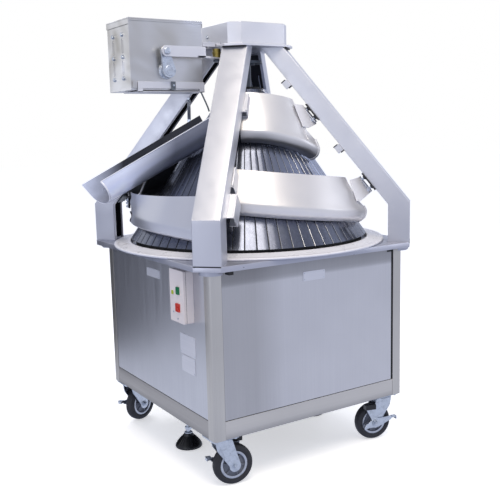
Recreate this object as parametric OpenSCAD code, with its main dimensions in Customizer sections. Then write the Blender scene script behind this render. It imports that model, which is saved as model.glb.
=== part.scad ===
// Conical dough rounder on a square stainless cabinet.
// A ribbed cone turns on a vertical shaft; curved tracks hung from four bent
// legs lead the dough up around it to a half-round discharge chute, and a
// flour duster with a rocking crank hangs from the top plate.
// Frame: +Z up, origin on the floor under the cone's axis. The wide panel is
// at -Y, the panel with the switch box at -X. Millimetres.

/* [Cabinet] */
// Side of the square cabinet over its corner posts
cab_w = 880; // [860:5:900]
// Height of the cabinet's lower edge above the floor
cab_z0 = 190; // [185:1:195]
// Width of each face of a corner post
post_w = 45; // [35:1:60]
// Sheet thickness of posts and rails
post_t = 3; // [2:0.5:4]
// Height of the rail under the panels
rail_h = 68; // [50:1:80]
// Gap around each panel
seam = 0.8; // [0.4:0.1:2]

/* [Deck and ring] */
// Height of the deck's upper face
deck_z = 822; // [815:1:830]
// Half side of the deck
deck_h = 497; // [485:1:505]
// Depth of the deck's turned-down edge
deck_lip = 20; // [12:1:28]
// Outer radius of the pale ring round the cone
ring_r = 550; // [530:1:555]
// Thickness of the ring
ring_t = 10; // [6:1:14]
// Height of the ring's inner edge above the deck
ring_rise = 19; // [15:1:22]

/* [Cone] */
// Radius of the cone at its base
cone_r0 = 478; // [470:1:482]
// Height of the cone's base
cone_z0 = 850; // [840:1:855]
// Radius lost for each millimetre of height
cone_k = 0.68; // [0.66:0.01:0.69]
// Height of the cone's top
cone_z1 = 1428; // [1400:1:1440]
// Wall of the cone
cone_t = 7; // [5:0.5:10]
// Radius of the main shaft
shaft_r = 25; // [20:0.5:28]

/* [Legs] */
// Width of a leg's web
leg_w = 100; // [80:1:110]
// Sheet thickness of a leg
leg_t = 4; // [3:0.5:5]
// Distance of a leg's outer face from the axis, along the diagonal
leg_out = 653; // [645:1:660]
// Distance of a leg's inner edge from the axis
leg_in = 570; // [565:1:590]
// Height of the leg's bend at its outer face
leg_bend = 977; // [960:1:990]
// Height of the top plate's lower face
top_z = 1585; // [1580:1:1590]

/* [Tracks] */
// Sheet thickness of the tracks
track_t = 4; // [3:0.5:5]
// Gap between a track's lip and the cone
track_gap = 6; // [3:0.5:8]
// How far a track's bulge stands off the cone
track_bulge = 42; // [36:1:46]
// Inward lean of a track's wall, per millimetre of height
track_lean = 0.45; // [0.4:0.01:0.5]
// Lean of the lower left track's free end
end_lean = 0.12; // [0.1:0.01:0.3]
// Angular steps along a track
track_n = 26; // [12:2:30]

/* [Chute] */
// Slope of the discharge chute
chute_a = 27.6; // [26:0.1:29]
// Inner radius of the chute's round bottom
chute_r = 60; // [55:1:62]
// Sheet thickness of the chute
chute_t = 3; // [2:0.5:4]
// Slant of the chute's trimmed outlet
chute_cut = 43.5; // [35:0.5:50]

/* [Flour duster] */
// Length of the hopper
hop_l = 298; // [280:1:300]
// Depth of the hopper
hop_d = 196; // [180:1:196]
// Height of the hopper's lower edge
hop_z0 = 1421; // [1415:1:1430]
// Height of the hopper's upper edge
hop_z1 = 1671; // [1650:1:1675]
// Wall of the hopper
hop_t = 2.5; // [2:0.5:4]
// Distance between the crank's two pivots
crank_l = 70.4; // [65:0.1:75]
// Height of the link bar
link_h = 39; // [30:1:42]

/* [Switch box] */
// Width of the switch box
sw_w = 105; // [90:1:120]
// Height of the switch box
sw_h = 190; // [170:1:200]
// Depth of the switch box
sw_d = 40; // [32:1:50]
// Radius of a push button
btn_r = 11; // [9:0.5:13]

/* [Casters and feet] */
// Radius of a caster wheel
wheel_r = 75; // [70:1:76]
// Width of a tyre
tyre_w = 40; // [34:1:42]
// Distance of a wheel's axle from its swivel axis
trail = 42; // [36:1:46]
// Place of the swivel axes from the middle, in X and in Y
swivel = 384; // [378:1:388]
// Turn of each caster: front, right, left, rear
cast_a = [-10, 165, 20, 205]; // [-180:1:360]
// Place of the levelling feet from the middle, in X
foot_x = 314; // [300:1:320]
// Radius of a levelling foot's base
foot_r = 55; // [45:1:60]

/* [Hidden] */
$fn = 64;
S = cab_w/2;
post_z1 = deck_z - 4;
fit = 0.05;
hop_x1 = -221;
hop_x0 = hop_x1 - hop_l;
hop_y0 = -50;
hop_y1 = hop_y0 + hop_d;
crank_x = -376;
crank_z = 1491;
crank_tilt = 11.5;
pin_x = crank_x - crank_l*sin(crank_tilt);
pin_z = crank_z + crank_l*cos(crank_tilt);
link_y0 = -92;
link_y1 = -84;
bush_x = -152;
bush_y = -40;
strap_z = 1530;
leg_k = 0.8013;
leg_ki = 0.7983;
leg_sl = atan(leg_ki);
sw_y1 = -215;
sw_z0 = 597;
start_y = -282;
start_z = 714;
stop_y = -279;
stop_z = 652;
lamp_y = -241;
lamp_z = 703;
gear_z = 660;
worm_y = 95;

silver = [0.79, 0.80, 0.86];
steel = [0.66, 0.68, 0.74];
warm = [0.64, 0.63, 0.62];
dark = [0.13, 0.13, 0.15];
zinc = [0.78, 0.81, 0.86];
iron = [0.32, 0.36, 0.40];
bronze = [0.62, 0.55, 0.28];

// Radius of the cone at a height
function Rc(z) = cone_r0 - cone_k*(z - cone_z0);
// Distance of a leg's outer and inner line from the axis at a height
function leg_o(z) = z < leg_bend ? leg_out : leg_out - leg_k*(z - leg_bend);
function leg_i(z) = z < leg_bend - 7 ? leg_in : leg_in - leg_ki*(z - leg_bend + 7);

// Square with rounded corners
module rsq(h, r) {
  square([2*(h - r), 2*h], center = true);
  square([2*h, 2*(h - r)], center = true);
  for (i = [-1, 1], j = [-1, 1]) translate([i*(h - r), j*(h - r)]) circle(r);
}
// Square with clipped corners
module csq(h, c) {
  polygon([[h, h - c], [h - c, h], [c - h, h], [-h, h - c], [-h, c - h], [c - h, -h], [h - c, -h], [h, c - h]]);
}
// Hexagon head bolt, head upward from the origin
module hexbolt(r, h, l) {
  cylinder(r = r*1.75, h = h, $fn = 6);
  translate([0, 0, -l]) cylinder(r = r, h = l + 0.01);
}

module cabinet_frame() {
  color(warm) {
    // corner posts
    translate([0, 0, cab_z0]) linear_extrude(post_z1 - cab_z0) intersection() {
      difference() { rsq(S, 10); rsq(S - post_t, 10 - post_t); }
      for (i = [-1, 1], j = [-1, 1]) translate([i*(S - post_w/2), j*(S - post_w/2)]) square(post_w, center = true);
    }
    for (k = [0:3]) rotate([0, 0, 90*k]) {
      // lower rail, a channel open to the inside
      translate([S - 1 - post_t, -S + post_w - 1, cab_z0]) cube([post_t, 2*(S - post_w) + 2, rail_h]);
      translate([S - 41, -S + post_t, cab_z0]) cube([40, 2*(S - post_t), post_t]);
      translate([S - 41, -S + post_t, cab_z0 + rail_h - post_t]) cube([40, 2*(S - post_t), post_t]);
      // upper rail, an angle
      translate([S - 44, -S + post_t, post_z1 - 4]) cube([30, 2*(S - post_t), 4]);
      translate([S - 18, -S + post_t, post_z1 - 34]) cube([4, 2*(S - post_t), 34]);
      // corner plate over each caster
      translate([S - 145, S - 145, cab_z0]) cube([142, 142, 6]);
    }
    // cross members carrying the levelling feet
    for (i = [-1, 1]) difference() {
      translate([i*foot_x - 25, -S + post_t, cab_z0]) union() {
        cube([50, 2*(S - post_t), 5]);
        cube([4, 2*(S - post_t), 40]);
        translate([46, 0, 0]) cube([4, 2*(S - post_t), 40]);
      }
      translate([i*foot_x, 0, cab_z0 - 1]) cylinder(r = 8 + fit, h = 10);
    }
    // beams under the gear reducer, on uprights from the lower rail
    for (i = [-1, 1]) translate([i*95 - 20, -S + 12, 0]) {
      translate([0, 0, 556]) cube([40, 2*S - 24, 4]);
      translate([0, 0, 520]) cube([4, 2*S - 24, 40]);
      for (y = [0, 2*S - 54]) translate([0, y, cab_z0 + rail_h - 1]) cube([40, 30, 300]);
    }
  }
}

// A panel as a shallow folded tray, its face at -Y
module panel() {
  w = 2*(S - post_w - seam);
  z0 = cab_z0 + rail_h + seam;
  z1 = deck_z - deck_lip + 8;
  translate([-w/2, -S + 0.5, z0]) difference() {
    cube([w, 11, z1 - z0]);
    translate([2, 2, 2]) cube([w - 4, 12, z1 - z0 - 4]);
  }
}
module panel_front() { color(steel) panel(); }
module panel_right() { color(steel) rotate([0, 0, 90]) panel(); }
module panel_rear() { color(steel) rotate([0, 0, 180]) panel(); }
module panel_left() { color(steel) rotate([0, 0, 270]) panel(); }

module deck_plate() {
  c = 2*deck_h - leg_out*sqrt(2);
  color(silver) {
    difference() {
      translate([0, 0, deck_z - deck_lip]) linear_extrude(deck_lip) csq(deck_h, c);
      translate([0, 0, deck_z - deck_lip - 1]) linear_extrude(deck_lip - 3) csq(deck_h - 4, c - 1.7);
      translate([0, 0, deck_z - 10]) cylinder(r = shaft_r + 8, h = 20);
    }
    // rounded gussets under the corners, outside the posts
    difference() {
      for (a = [45:90:315]) rotate([0, 0, a]) translate([606, 0, deck_z - deck_lip - 12]) cylinder(r = 42, h = deck_lip + 9);
      translate([-S - 0.5, -S - 0.5, deck_z - 60]) cube([cab_w + 1, cab_w + 1, 56]);
    }
  }
}

module rim_ring() {
  z = deck_z;
  color([0.90, 0.90, 0.93]) rotate_extrude($fn = 128) polygon([
    [484, z], [ring_r - 4, z], [ring_r, z + 3], [ring_r, z + ring_t - 3], [ring_r - 4, z + ring_t],
    [ring_r - 20, z + ring_t + 0.5], [492, z + ring_rise], [484, z + ring_rise]]);
}

// A bent leg, a channel open toward the axis
module leg(az) {
  tb = leg_bend - 7;
  flange = [[leg_out, deck_z], [leg_out, leg_bend], [leg_o(top_z), top_z], [leg_i(top_z), top_z], [leg_in, tb], [leg_in, deck_z]];
  web = [[leg_out, deck_z], [leg_out, leg_bend], [leg_o(top_z), top_z],
         [leg_o(top_z) - leg_t*1.28, top_z], [leg_out - leg_t, leg_bend - leg_t*0.36], [leg_out - leg_t, deck_z]];
  color(silver) rotate([0, 0, az]) union() {
    for (s = [leg_w/2, -leg_w/2 + leg_t]) translate([0, s, 0]) rotate([90, 0, 0]) linear_extrude(leg_t) polygon(flange);
    translate([0, leg_w/2, 0]) rotate([90, 0, 0]) linear_extrude(leg_w) polygon(web);
    // foot plate and head plate
    translate([leg_in + 2, -leg_w/2 + 1, deck_z]) cube([leg_out - leg_in - 4, leg_w - 2, 6]);
    translate([leg_i(top_z) + 8, -leg_w/2 + 1, top_z - 6]) cube([leg_o(top_z) - leg_i(top_z) - 12, leg_w - 2, 6]);
  }
}
module leg_front() { leg(225); }
module leg_right() { leg(315); }
module leg_left() { leg(135); }
module leg_rear() { leg(45); }

module frame_bolts() {
  color(zinc) {
    // leg feet
    for (a = [45:90:315]) rotate([0, 0, a]) for (s = [-26, 26]) translate([600, s, deck_z + 6]) hexbolt(5, 7, 0);
    // left end of the hopper, two columns of three
    for (y = [12, 95], z = [1466, 1543, 1622]) translate([hop_x0 - 0.01, y, z]) rotate([0, -90, 0]) hexbolt(4, 5, 0);
    // switch box cover
    for (p = [[-241, 632], [-273, 611]]) translate([-S - sw_d + 0.5, p[0], p[1]]) rotate([0, -90, 0]) cylinder(r = 3.4, h = 2);
    // side of the cap
    translate([-137, 52, 1634]) rotate([0, -90, 0]) hexbolt(4, 5, 0);
    translate([137, -52, 1634]) rotate([0, 90, 0]) hexbolt(4, 5, 0);
    // fixings of the gear reducer
    for (x = [-95, 95], y = [-80, 125]) translate([x, y, 572]) hexbolt(5, 7, 0);
  }
}

module top_plate() {
  color(silver) translate([0, 0, top_z]) difference() {
    linear_extrude(8) csq(158, 48);
    translate([0, 0, -1]) cylinder(r = shaft_r + 4, h = 10);
  }
}

module top_cap() {
  color(silver) translate([0, 0, top_z + 8]) difference() {
    linear_extrude(82) csq(137, 38);
    translate([0, 0, -1]) linear_extrude(80) csq(134, 36.8);
  }
}

module shaft_bearings() {
  color(iron) {
    // flanged bearing on the top plate
    translate([0, 0, top_z + 8]) difference() {
      union() { cylinder(r = 62, h = 10); cylinder(r = 46, h = 30); }
      translate([0, 0, -1]) cylinder(r = shaft_r + fit, h = 40);
    }
    // flanged bearing under the deck
    translate([0, 0, deck_z - 4 - 40]) difference() {
      union() { translate([0, 0, 28]) cylinder(r = 72, h = 12); cylinder(r = 48, h = 40); }
      translate([0, 0, -1]) cylinder(r = shaft_r + fit, h = 50);
    }
  }
}

// Section of a track above its lower lip: outside upward, inside downward
function track_sec(zb, h, l) = let (r = Rc(zb) + track_gap, b = Rc(zb) + track_bulge, t = track_t)
  [[r, zb], [r + 16, zb + 6], [b - 7, zb + 20], [b, zb + 47],
   [b - l*(h - 47)/2, zb + 47 + (h - 47)/2], [b - l*(h - 47), zb + h],
   [b - l*(h - 47) - t*1.09, zb + h], [b - l*(h - 47)/2 - t*1.09, zb + 47 + (h - 47)/2], [b - t, zb + 48],
   [b - 7 - t*0.9, zb + 20 + t*0.6], [r + 16 - t*0.5, zb + 6 + t], [r, zb + t*1.05]];
// A track from angle a0 up to a1, lower lip z0 to z1, height h0 to h1, steeper toward a1 when p is over 1;
// its wall leans by l0 at the a0 end
module track(a0, a1, z0, z1, h0, h1, p = 1, l0 = track_lean) {
  n = track_n;
  m = 12;
  pts = [for (i = [0:n]) let (u = pow(i/n, p), a = a0 + (a1 - a0)*i/n)
    for (q = track_sec(z0 + (z1 - z0)*u, h0 + (h1 - h0)*u, track_lean + (l0 - track_lean)*pow(1 - i/n, 3)))
      [q[0]*cos(a), q[0]*sin(a), q[1]]];
  side = [for (i = [0:n - 1], j = [0:m - 1]) let (q = i*m + j, w = i*m + (j + 1) % m)
    for (f = [[q, w, w + m], [q, w + m, q + m]]) f];
  // end caps, split into strips between the outside and the inside
  cap0 = [for (j = [0:4]) for (f = [[11 - j, j + 1, j], [11 - j, 10 - j, j + 1]]) f];
  cap1 = [for (j = [0:4]) for (f = [[j, j + 1, 11 - j], [j + 1, 10 - j, 11 - j]]) [for (v = f) v + n*m]];
  polyhedron(points = pts, faces = concat(side, cap0, cap1), convexity = 6);
}
module track_lower_front() { color(silver) track(232, 310, 967, 902, 164, 172); }
module track_lower_left() { color(silver) track(152, 222, 904, 868, 128, 174, 2.2, end_lean); }
module track_rear_left() { color(silver) track(60, 157, 1058, 956.5, 164, 164); }
module track_rear_right() { color(silver) track(-2, 40, 1112, 1060, 166, 164); }
module track_upper_front() { color(silver) track(233, 300, 1221, 1150, 188, 222, 2.2); }

// Section of the chute: b across, w upward; the back wall stands higher
module chute_sec(front_only) {
  difference() {
    union() {
      translate([205, -15]) circle(chute_r + chute_t);
      translate([205 - chute_r - chute_t, -15]) square([2*(chute_r + chute_t), 60]);
    }
    translate([205, -15]) circle(chute_r);
    translate([205 - chute_r, -15]) square([2*chute_r, 70]);
    translate([205, 0]) square([90, 90]);
    if (front_only) translate([100, -120]) square([105, 240]);
  }
}
module discharge_chute() {
  color(silver) difference() {
    translate([-369.1, 369.1, 1086]) rotate([0, 0, 225]) rotate([90 + chute_a, 0, 0]) difference() {
      union() {
        translate([0, 0, -440]) linear_extrude(660) chute_sec(false);
        translate([0, 0, -560]) linear_extrude(120.5) chute_sec(true);
      }
      // outlet trimmed on a slant, the back wall left longest
      translate([261, -44, 0]) rotate([10.3, chute_cut, 0]) translate([-500, -500, 0]) cube([1000, 1000, 500]);
    }
    // room for the cone
    translate([0, 0, cone_z0]) cylinder(r1 = cone_r0 + 8, r2 = Rc(cone_z1) + 8, h = cone_z1 - cone_z0, $fn = 96);
  }
}

// A mounting bar on a leg's inner edge, with two adjusting studs to a track's pad
module track_mount(az, side, zc, reach, s0, s1, bl) {
  rotate([0, 0, az]) translate([leg_i(zc), 0, zc]) rotate([0, -leg_sl, 0]) {
    // here +Z runs up the leg and -X points at the cone
    translate([-8, side > 0 ? s0 : -s1, -bl/2]) cube([8, s1 - s0, bl]);
    if (reach > 0) for (k = [-0.3, 0.3]) translate([0, side*(s1 - 14), k*bl]) rotate([0, -90, 0]) {
      translate([0, 0, -14]) cylinder(r = 5, h = 6.5);
      translate([0, 0, -7.5]) cylinder(r = 9, h = 7.5, $fn = 6);
      translate([0, 0, 8]) cylinder(r = 9, h = 8, $fn = 6);
      translate([0, 0, 8]) cylinder(r = 5, h = reach - 8);
    }
    if (reach > 0) translate([-reach - 4, side > 0 ? s1 - 30 : -s1, -bl/2 + 6]) cube([4, 30, bl - 12]);
  }
}
// A folded plate from a leg's inner edge to a track's pad
module track_plate(az, side, zc, reach, s0, s1, bl) {
  rotate([0, 0, az]) translate([leg_i(zc), 0, zc]) rotate([0, -leg_sl, 0]) {
    translate([-5, side > 0 ? s0 : -s1, -bl/2]) cube([5, s1 - s0, bl]);
    translate([-reach - 1, side > 0 ? s1 - 4 : -s1, -bl/2 + 8]) cube([reach + (s0 > 40 ? 6 : 1), 4, bl - 16]);
    translate([-reach - 4, side > 0 ? s1 - 30 : -s1, -bl/2 + 6]) cube([4, 30, bl - 12]);
  }
}
// A cross plate on the right leg with two studs to a track's bent end tab
module tab_mount(zc, bl, gap, y0, y1, ys) {
  rotate([0, 0, 315]) translate([leg_i(zc), 0, zc]) rotate([0, -leg_sl, 0]) {
    translate([-5, -60, -bl/2]) cube([5, 108, bl]);
    translate([-gap - 4, y0, -bl/2 + 4]) cube([4, y1 - y0, bl - 8]);
    for (k = [-0.27, 0.27]) translate([0, ys, k*bl]) rotate([0, -90, 0]) {
      translate([0, 0, -12]) cylinder(r = 5, h = gap + 24);
      translate([0, 0, -7.5]) cylinder(r = 9, h = 8, $fn = 6);
      translate([0, 0, 4.5]) cylinder(r = 9, h = 6, $fn = 6);
      translate([0, 0, gap + 3.5]) cylinder(r = 9, h = 7, $fn = 6);
    }
  }
}
module end_tab(p, an, pts) {
  translate(p) rotate([0, 0, an + 90]) rotate([90 - atan(track_lean), 0, 0]) linear_extrude(4) polygon(pts);
}
// A cross plate on the left leg's inner edges with a slanted plate to the lower left track's free end
module end_bracket() {
  rotate([0, 0, 135]) {
    translate([leg_i(1000), 0, 1000]) rotate([0, -leg_sl, 0]) translate([-5, -leg_w/2, -24]) cube([5, leg_w, 48]);
    hull() {
      translate([533, -24, 990]) cube([5, 4, 26]);
      translate([459, 136, 966]) cube([5, 8, 42]);
    }
    // upright plate to the rear left track's end
    rotate([0, 0, 15.2]) translate([0, 2, 0]) rotate([90, 0, 0]) linear_extrude(4)
      polygon([[485, 990], [483, 1056], [411.5, 1078], [428.5, 1042], [455, 1008]]);
  }
}
module track_mounts() {
  color(iron) {
    track_plate(225, 1, 1100, 62, 44, 70, 110);
    track_plate(225, 1, 1370, 32, 44, 70, 90);
    track_plate(225, 1, 1014, 64, 44, 76, 90);
    track_plate(225, -1, 1020, 66, 20, 49.5, 100);
    tab_mount(1061, 84, 20, -36, 14, -6);
    end_tab([240.9, -371, 1040], 279, [[-1, 30], [61, 38.4], [102, -26.3], [21, -59.2], [-1, -58]]);
    tab_mount(1334, 80, 16, -54, 8, -18);
    end_tab([92.16, -240.23, 1320], 291, [[-10, 46.1], [49, 42.8], [98, -37.3], [27, -53.7], [-10, -48.2]]);
    end_bracket();
    track_mount(135, -1, 1100, 58, 44, 94, 100);
    track_mount(45, 1, 1200, 46, 44, 110, 100);
    track_mount(45, -1, 1200, 46, 44, 110, 100);
    // spare lugs on the right leg
    for (z = [1196, 1449]) rotate([0, 0, 315]) translate([leg_i(z), 0, z]) rotate([0, -leg_sl, 0])
      translate([-24, -58, -15]) cube([24, 14, 30]);
    // hanger and shelf between the left leg and the chute's back wall
    rotate([0, 0, 135]) {
      hull() {
        translate([215, leg_w/2, 1392]) cube([14, 3, 4]);
        translate([190, 138, 1312]) cube([14, 4, 4]);
      }
      translate([190, 138, 1272]) cube([14, 4, 44]);
      translate([490, leg_w/2, 1104]) cube([36, 92, 5]);
    }
  }
}

module duster_hopper() {
  w = hop_t;
  color(steel) difference() {
    union() {
      difference() {
        translate([hop_x0, hop_y0, hop_z0]) cube([hop_l, hop_d, hop_z1 - hop_z0]);
        translate([hop_x0 + w, hop_y0 + w, hop_z0 + w]) cube([hop_l - 2*w, hop_d - 2*w, hop_z1]);
        // flour slot in the floor
        translate([hop_x0 + 40, hop_y0 + 70, hop_z0 - 1]) cube([hop_l - 80, 40, w + 2]);
      }
      // bearing flange of the roller shaft
      translate([crank_x, hop_y0 + 0.01, crank_z]) rotate([90, 0, 0]) cylinder(r = 29, h = 7);
      translate([crank_x, hop_y1 - 0.01, crank_z]) rotate([-90, 0, 0]) cylinder(r = 22, h = 6);
      // stop and guide of the slide
      translate([hop_x0 + 4, hop_y0 - 9, hop_z0 + 8]) cube([16, 9.01, 24]);
      translate([-363, hop_y0 - 13, hop_z0 + 2]) cube([18, 3.5, 30]);
      translate([-363, hop_y0 - 13, hop_z0 + 2]) cube([18, 13.01, 3.5]);
      // hinge ears of the lid
      for (x = [hop_x0 + 40, hop_x1 - 60]) translate([x, hop_y1 - 0.01, hop_z1 - 22]) difference() {
        cube([20, 14, 22]);
        translate([-1, 8, 14]) rotate([0, 90, 0]) cylinder(r = 3 + fit, h = 30);
      }
    }
    translate([crank_x, hop_y0 - 20, crank_z]) rotate([-90, 0, 0]) cylinder(r = 12 + fit, h = hop_d + 40);
  }
}

module duster_bracket() {
  color(silver) {
    // arm from the top plate to the hopper, a downward channel
    translate([hop_x1 + 4, hop_y0, top_z + 12]) cube([-139 - hop_x1 - 4, 60, 5]);
    translate([-157, hop_y0, top_z + 8]) cube([18, 60, 4.01]);
    for (y = [hop_y0, hop_y0 + 56]) translate([hop_x1 + 4, y, top_z + 1]) cube([-162 - hop_x1 - 4, 4, 12]);
    translate([hop_x1, hop_y0 + 2, top_z - 30]) cube([4.01, 62, 80]);
    // angle from the hopper's corner to the left leg
    translate([hop_x1, 112, 1490]) cube([32, 4, 60]);
    translate([hop_x1, 90, 1490]) cube([4, 26, 60]);
  }
}

module duster_crank() {
  color(zinc) {
    difference() {
      union() {
        translate([crank_x, -74, crank_z]) rotate([-90, 0, 0]) cylinder(r = 22, h = 16.5);
        // arm between the hub and the pin
        translate([crank_x, -70, crank_z]) rotate([90, 0, 0]) linear_extrude(10) union() {
          circle(26);
          translate([pin_x - crank_x, pin_z - crank_z]) circle(17);
          rotate(crank_tilt) polygon([[-24, 0], [24, 0], [15, crank_l], [-15, crank_l]]);
        }
      }
      translate([crank_x, -85, crank_z]) rotate([-90, 0, 0]) cylinder(r = 12 + fit, h = 40);
    }
    // pin with its head
    translate([pin_x, -76, pin_z]) rotate([90, 0, 0]) cylinder(r = 8, h = 20);
    translate([pin_x, -93, pin_z]) rotate([90, 0, 0]) cylinder(r = 12, h = 6);
  }
}

module duster_roller() {
  color(zinc) {
    translate([crank_x, -84, crank_z]) rotate([-90, 0, 0]) cylinder(r = 12, h = hop_y1 + 84 + 4);
    // agitator blades inside the hopper
    for (a = [0:60:300]) translate([crank_x, hop_y0 + 10, crank_z]) rotate([0, a, 0]) translate([10, 0, -2]) cube([22, hop_d - 20, 4]);
  }
}

module link_bar() {
  color(silver) difference() {
    union() {
      translate([pin_x, link_y1, pin_z]) rotate([90, 0, 0]) linear_extrude(link_y1 - link_y0) union() {
        circle(link_h/2);
        translate([0, -link_h/2]) square([-228 - pin_x, link_h]);
      }
      // bent tab to the bush
      translate([0, 0, pin_z - link_h/2]) linear_extrude(6) union() {
        polygon([[-262, link_y0], [-228, link_y0], [bush_x + 9, bush_y - 15], [bush_x - 9, bush_y + 15], [-262, link_y1]]);
        translate([bush_x, bush_y]) circle(17);
      }
    }
    translate([pin_x, link_y0 - 5, pin_z]) rotate([-90, 0, 0]) cylinder(r = 8 + fit, h = 20);
    translate([bush_x, bush_y, pin_z - link_h/2 - 1]) cylinder(r = 8 + fit, h = 10);
  }
}

module pivot_bush() {
  z = pin_z - link_h/2 + 6;
  color(bronze) translate([bush_x, bush_y, z]) difference() {
    union() { cylinder(r = 15, h = 34); translate([0, 0, 14]) cylinder(r = 17, h = 8); }
    translate([0, 0, -1]) cylinder(r = 8 + fit, h = 36);
  }
}

module eccentric_strap() {
  a = atan2(-bush_y, -bush_x);
  l = sqrt(bush_x*bush_x + bush_y*bush_y);
  z1 = pin_z - link_h/2;
  color(zinc) {
    translate([0, 0, strap_z]) difference() {
      cylinder(r = 70, h = 9);
      translate([0, 0, -1]) cylinder(r = 60, h = 12);
    }
    // rod from the ring to the pin
    translate([bush_x, bush_y, strap_z + 0.5]) rotate([0, 0, a]) translate([6, -10, 0]) cube([l - 72, 20, 8]);
    // pivot pin up through the tab and the bush
    translate([bush_x, bush_y, strap_z]) cylinder(r = 13, h = 9);
    translate([bush_x, bush_y, strap_z + 4]) cylinder(r = 8, h = z1 + 40 - strap_z - 4);
  }
}

module duster_lid() {
  color(steel) {
    difference() {
      translate([hop_x0 - 3, hop_y0 - 3, hop_z1 - 18]) cube([hop_l + 6, hop_d + 4, 24]);
      translate([hop_x0 - 0.6, hop_y0 - 0.6, hop_z1 - 19]) cube([hop_l + 1.2, hop_d + 20, 19.6]);
      // short front fold
      translate([hop_x0 + 6, hop_y0 - 5, hop_z1 - 20]) cube([hop_l - 12, 5, 14]);
    }
    // knuckles and pin at the back
    for (x = [hop_x0 + 61, hop_x1 - 80]) translate([x, hop_y1 + 8, hop_z1 - 8]) {
      rotate([0, 90, 0]) cylinder(r = 6, h = 18);
      translate([0, -7.5, 8.6]) cube([18, 13.5, 5.4]);
      translate([0, -6, 0]) cube([18, 12, 10]);
    }
    translate([hop_x0 + 39, hop_y1 + 8, hop_z1 - 8]) rotate([0, 90, 0]) cylinder(r = 3, h = 40);
    translate([hop_x1 - 81, hop_y1 + 8, hop_z1 - 8]) rotate([0, 90, 0]) cylinder(r = 3, h = 42);
  }
}

module duster_slide() {
  color(silver) {
    translate([-496, hop_y0 - 8.5, hop_z0 + 6]) cube([276, 7, 25]);
    // gate under the floor of the hopper
    translate([-496, hop_y0 - 8.5, hop_z0 - 6.5]) cube([20, 7, 13]);
    translate([-240, hop_y0 - 8.5, hop_z0 - 6.5]) cube([20, 7, 13]);
    translate([-496, hop_y0 - 8.5, hop_z0 - 6.5]) cube([276, 130, 3]);
    // pull wire
    translate([-234, hop_y0 - 5, hop_z0 - 5]) rotate([0, 155, 0]) cylinder(r = 2, h = 60);
  }
}

module control_box() {
  color([0.80, 0.80, 0.83]) difference() {
    translate([-S + 0.5 - sw_d, sw_y1 - sw_w, sw_z0]) cube([sw_d, sw_w, sw_h]);
    translate([-S + 0.5 - sw_d + 3, sw_y1 - sw_w + 3, sw_z0 + 3]) cube([sw_d, sw_w - 6, sw_h - 6]);
    for (p = [[start_y, start_z], [stop_y, stop_z]])
      translate([-S - sw_d - 1, p[0], p[1]]) rotate([0, 90, 0]) cylinder(r = btn_r + fit, h = 8);
  }
}
module button(y, z) {
  translate([-S + 0.5 - sw_d - 5, y, z]) rotate([0, 90, 0]) union() {
    cylinder(r = btn_r, h = 16);
    translate([0, 0, 12]) cylinder(r = btn_r + 3, h = 4);
  }
}
module start_button() { color([0.10, 0.55, 0.30]) button(start_y, start_z); }
module stop_button() { color([0.80, 0.16, 0.12]) button(stop_y, stop_z); }
module indicator_lamp() {
  color([0.70, 0.75, 0.30]) translate([-S + 0.5 - sw_d, lamp_y, lamp_z]) rotate([0, -90, 0]) union() {
    cylinder(r = 6, h = 2);
    cylinder(r = 4.5, h = 5);
  }
}

module gear_reducer() {
  color(iron) difference() {
    union() {
      translate([-105, -95, gear_z - 80]) cube([210, 240, 160]);
      translate([-118, -100, gear_z - 100]) cube([236, 250, 12]);
      translate([-118, -60, gear_z - 90]) cube([230, 170, 12]);
      translate([0, 0, gear_z + 79]) cylinder(r = 55, h = 14);
      translate([104, worm_y, gear_z]) rotate([0, 90, 0]) cylinder(r = 80, h = 10);
    }
    translate([-93, -84, gear_z - 66]) cube([186, 216, 132]);
    translate([0, 0, gear_z - 70]) cylinder(r = shaft_r + fit, h = 200);
    translate([-112, worm_y, gear_z]) rotate([0, 90, 0]) cylinder(r = 14 + fit, h = 240);
  }
}

module drive_motor() {
  color([0.42, 0.47, 0.52]) translate([115, worm_y, gear_z]) rotate([0, 90, 0]) difference() {
    union() {
      cylinder(r = 80, h = 10);
      cylinder(r = 68, h = 214);
      // cooling fins
      for (a = [0:20:340]) rotate([0, 0, a]) translate([60, -2, 16]) cube([16, 4, 180]);
      // terminal box
      translate([-98, -45, 40]) cube([50, 90, 90]);
      // fan cover
      translate([0, 0, 210]) cylinder(r = 74, h = 44);
    }
    translate([0, 0, 14]) cylinder(r = 56, h = 186);
    translate([0, 0, 218]) cylinder(r = 71, h = 33);
    translate([0, 0, -1]) cylinder(r = 14 + fit, h = 230);
    for (a = [0:30:330]) rotate([0, 0, a]) translate([40, 0, 240]) cylinder(r = 5, h = 20);
  }
}

module motor_rotor() {
  color(zinc) translate([0, worm_y, gear_z]) rotate([0, 90, 0]) {
    translate([0, 0, -104]) cylinder(r = 14, h = 455);
    // worm
    translate([0, 0, -58]) cylinder(r = 22, h = 116);
    // rotor core
    translate([0, 0, 148]) cylinder(r = 52, h = 140);
    // fan
    translate([0, 0, 338]) cylinder(r = 24, h = 14);
    for (a = [0:60:300]) rotate([0, 0, a]) translate([20, -1.5, 338]) cube([46, 3, 14]);
  }
}

module main_shaft() {
  color(zinc) union() {
    translate([0, 0, gear_z - 62]) cylinder(r = shaft_r, h = top_z + 46 - gear_z + 62);
    // eccentric under the top plate
    translate([8, 0, strap_z - 5]) cylinder(r = 34, h = 17);
  }
}

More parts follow.
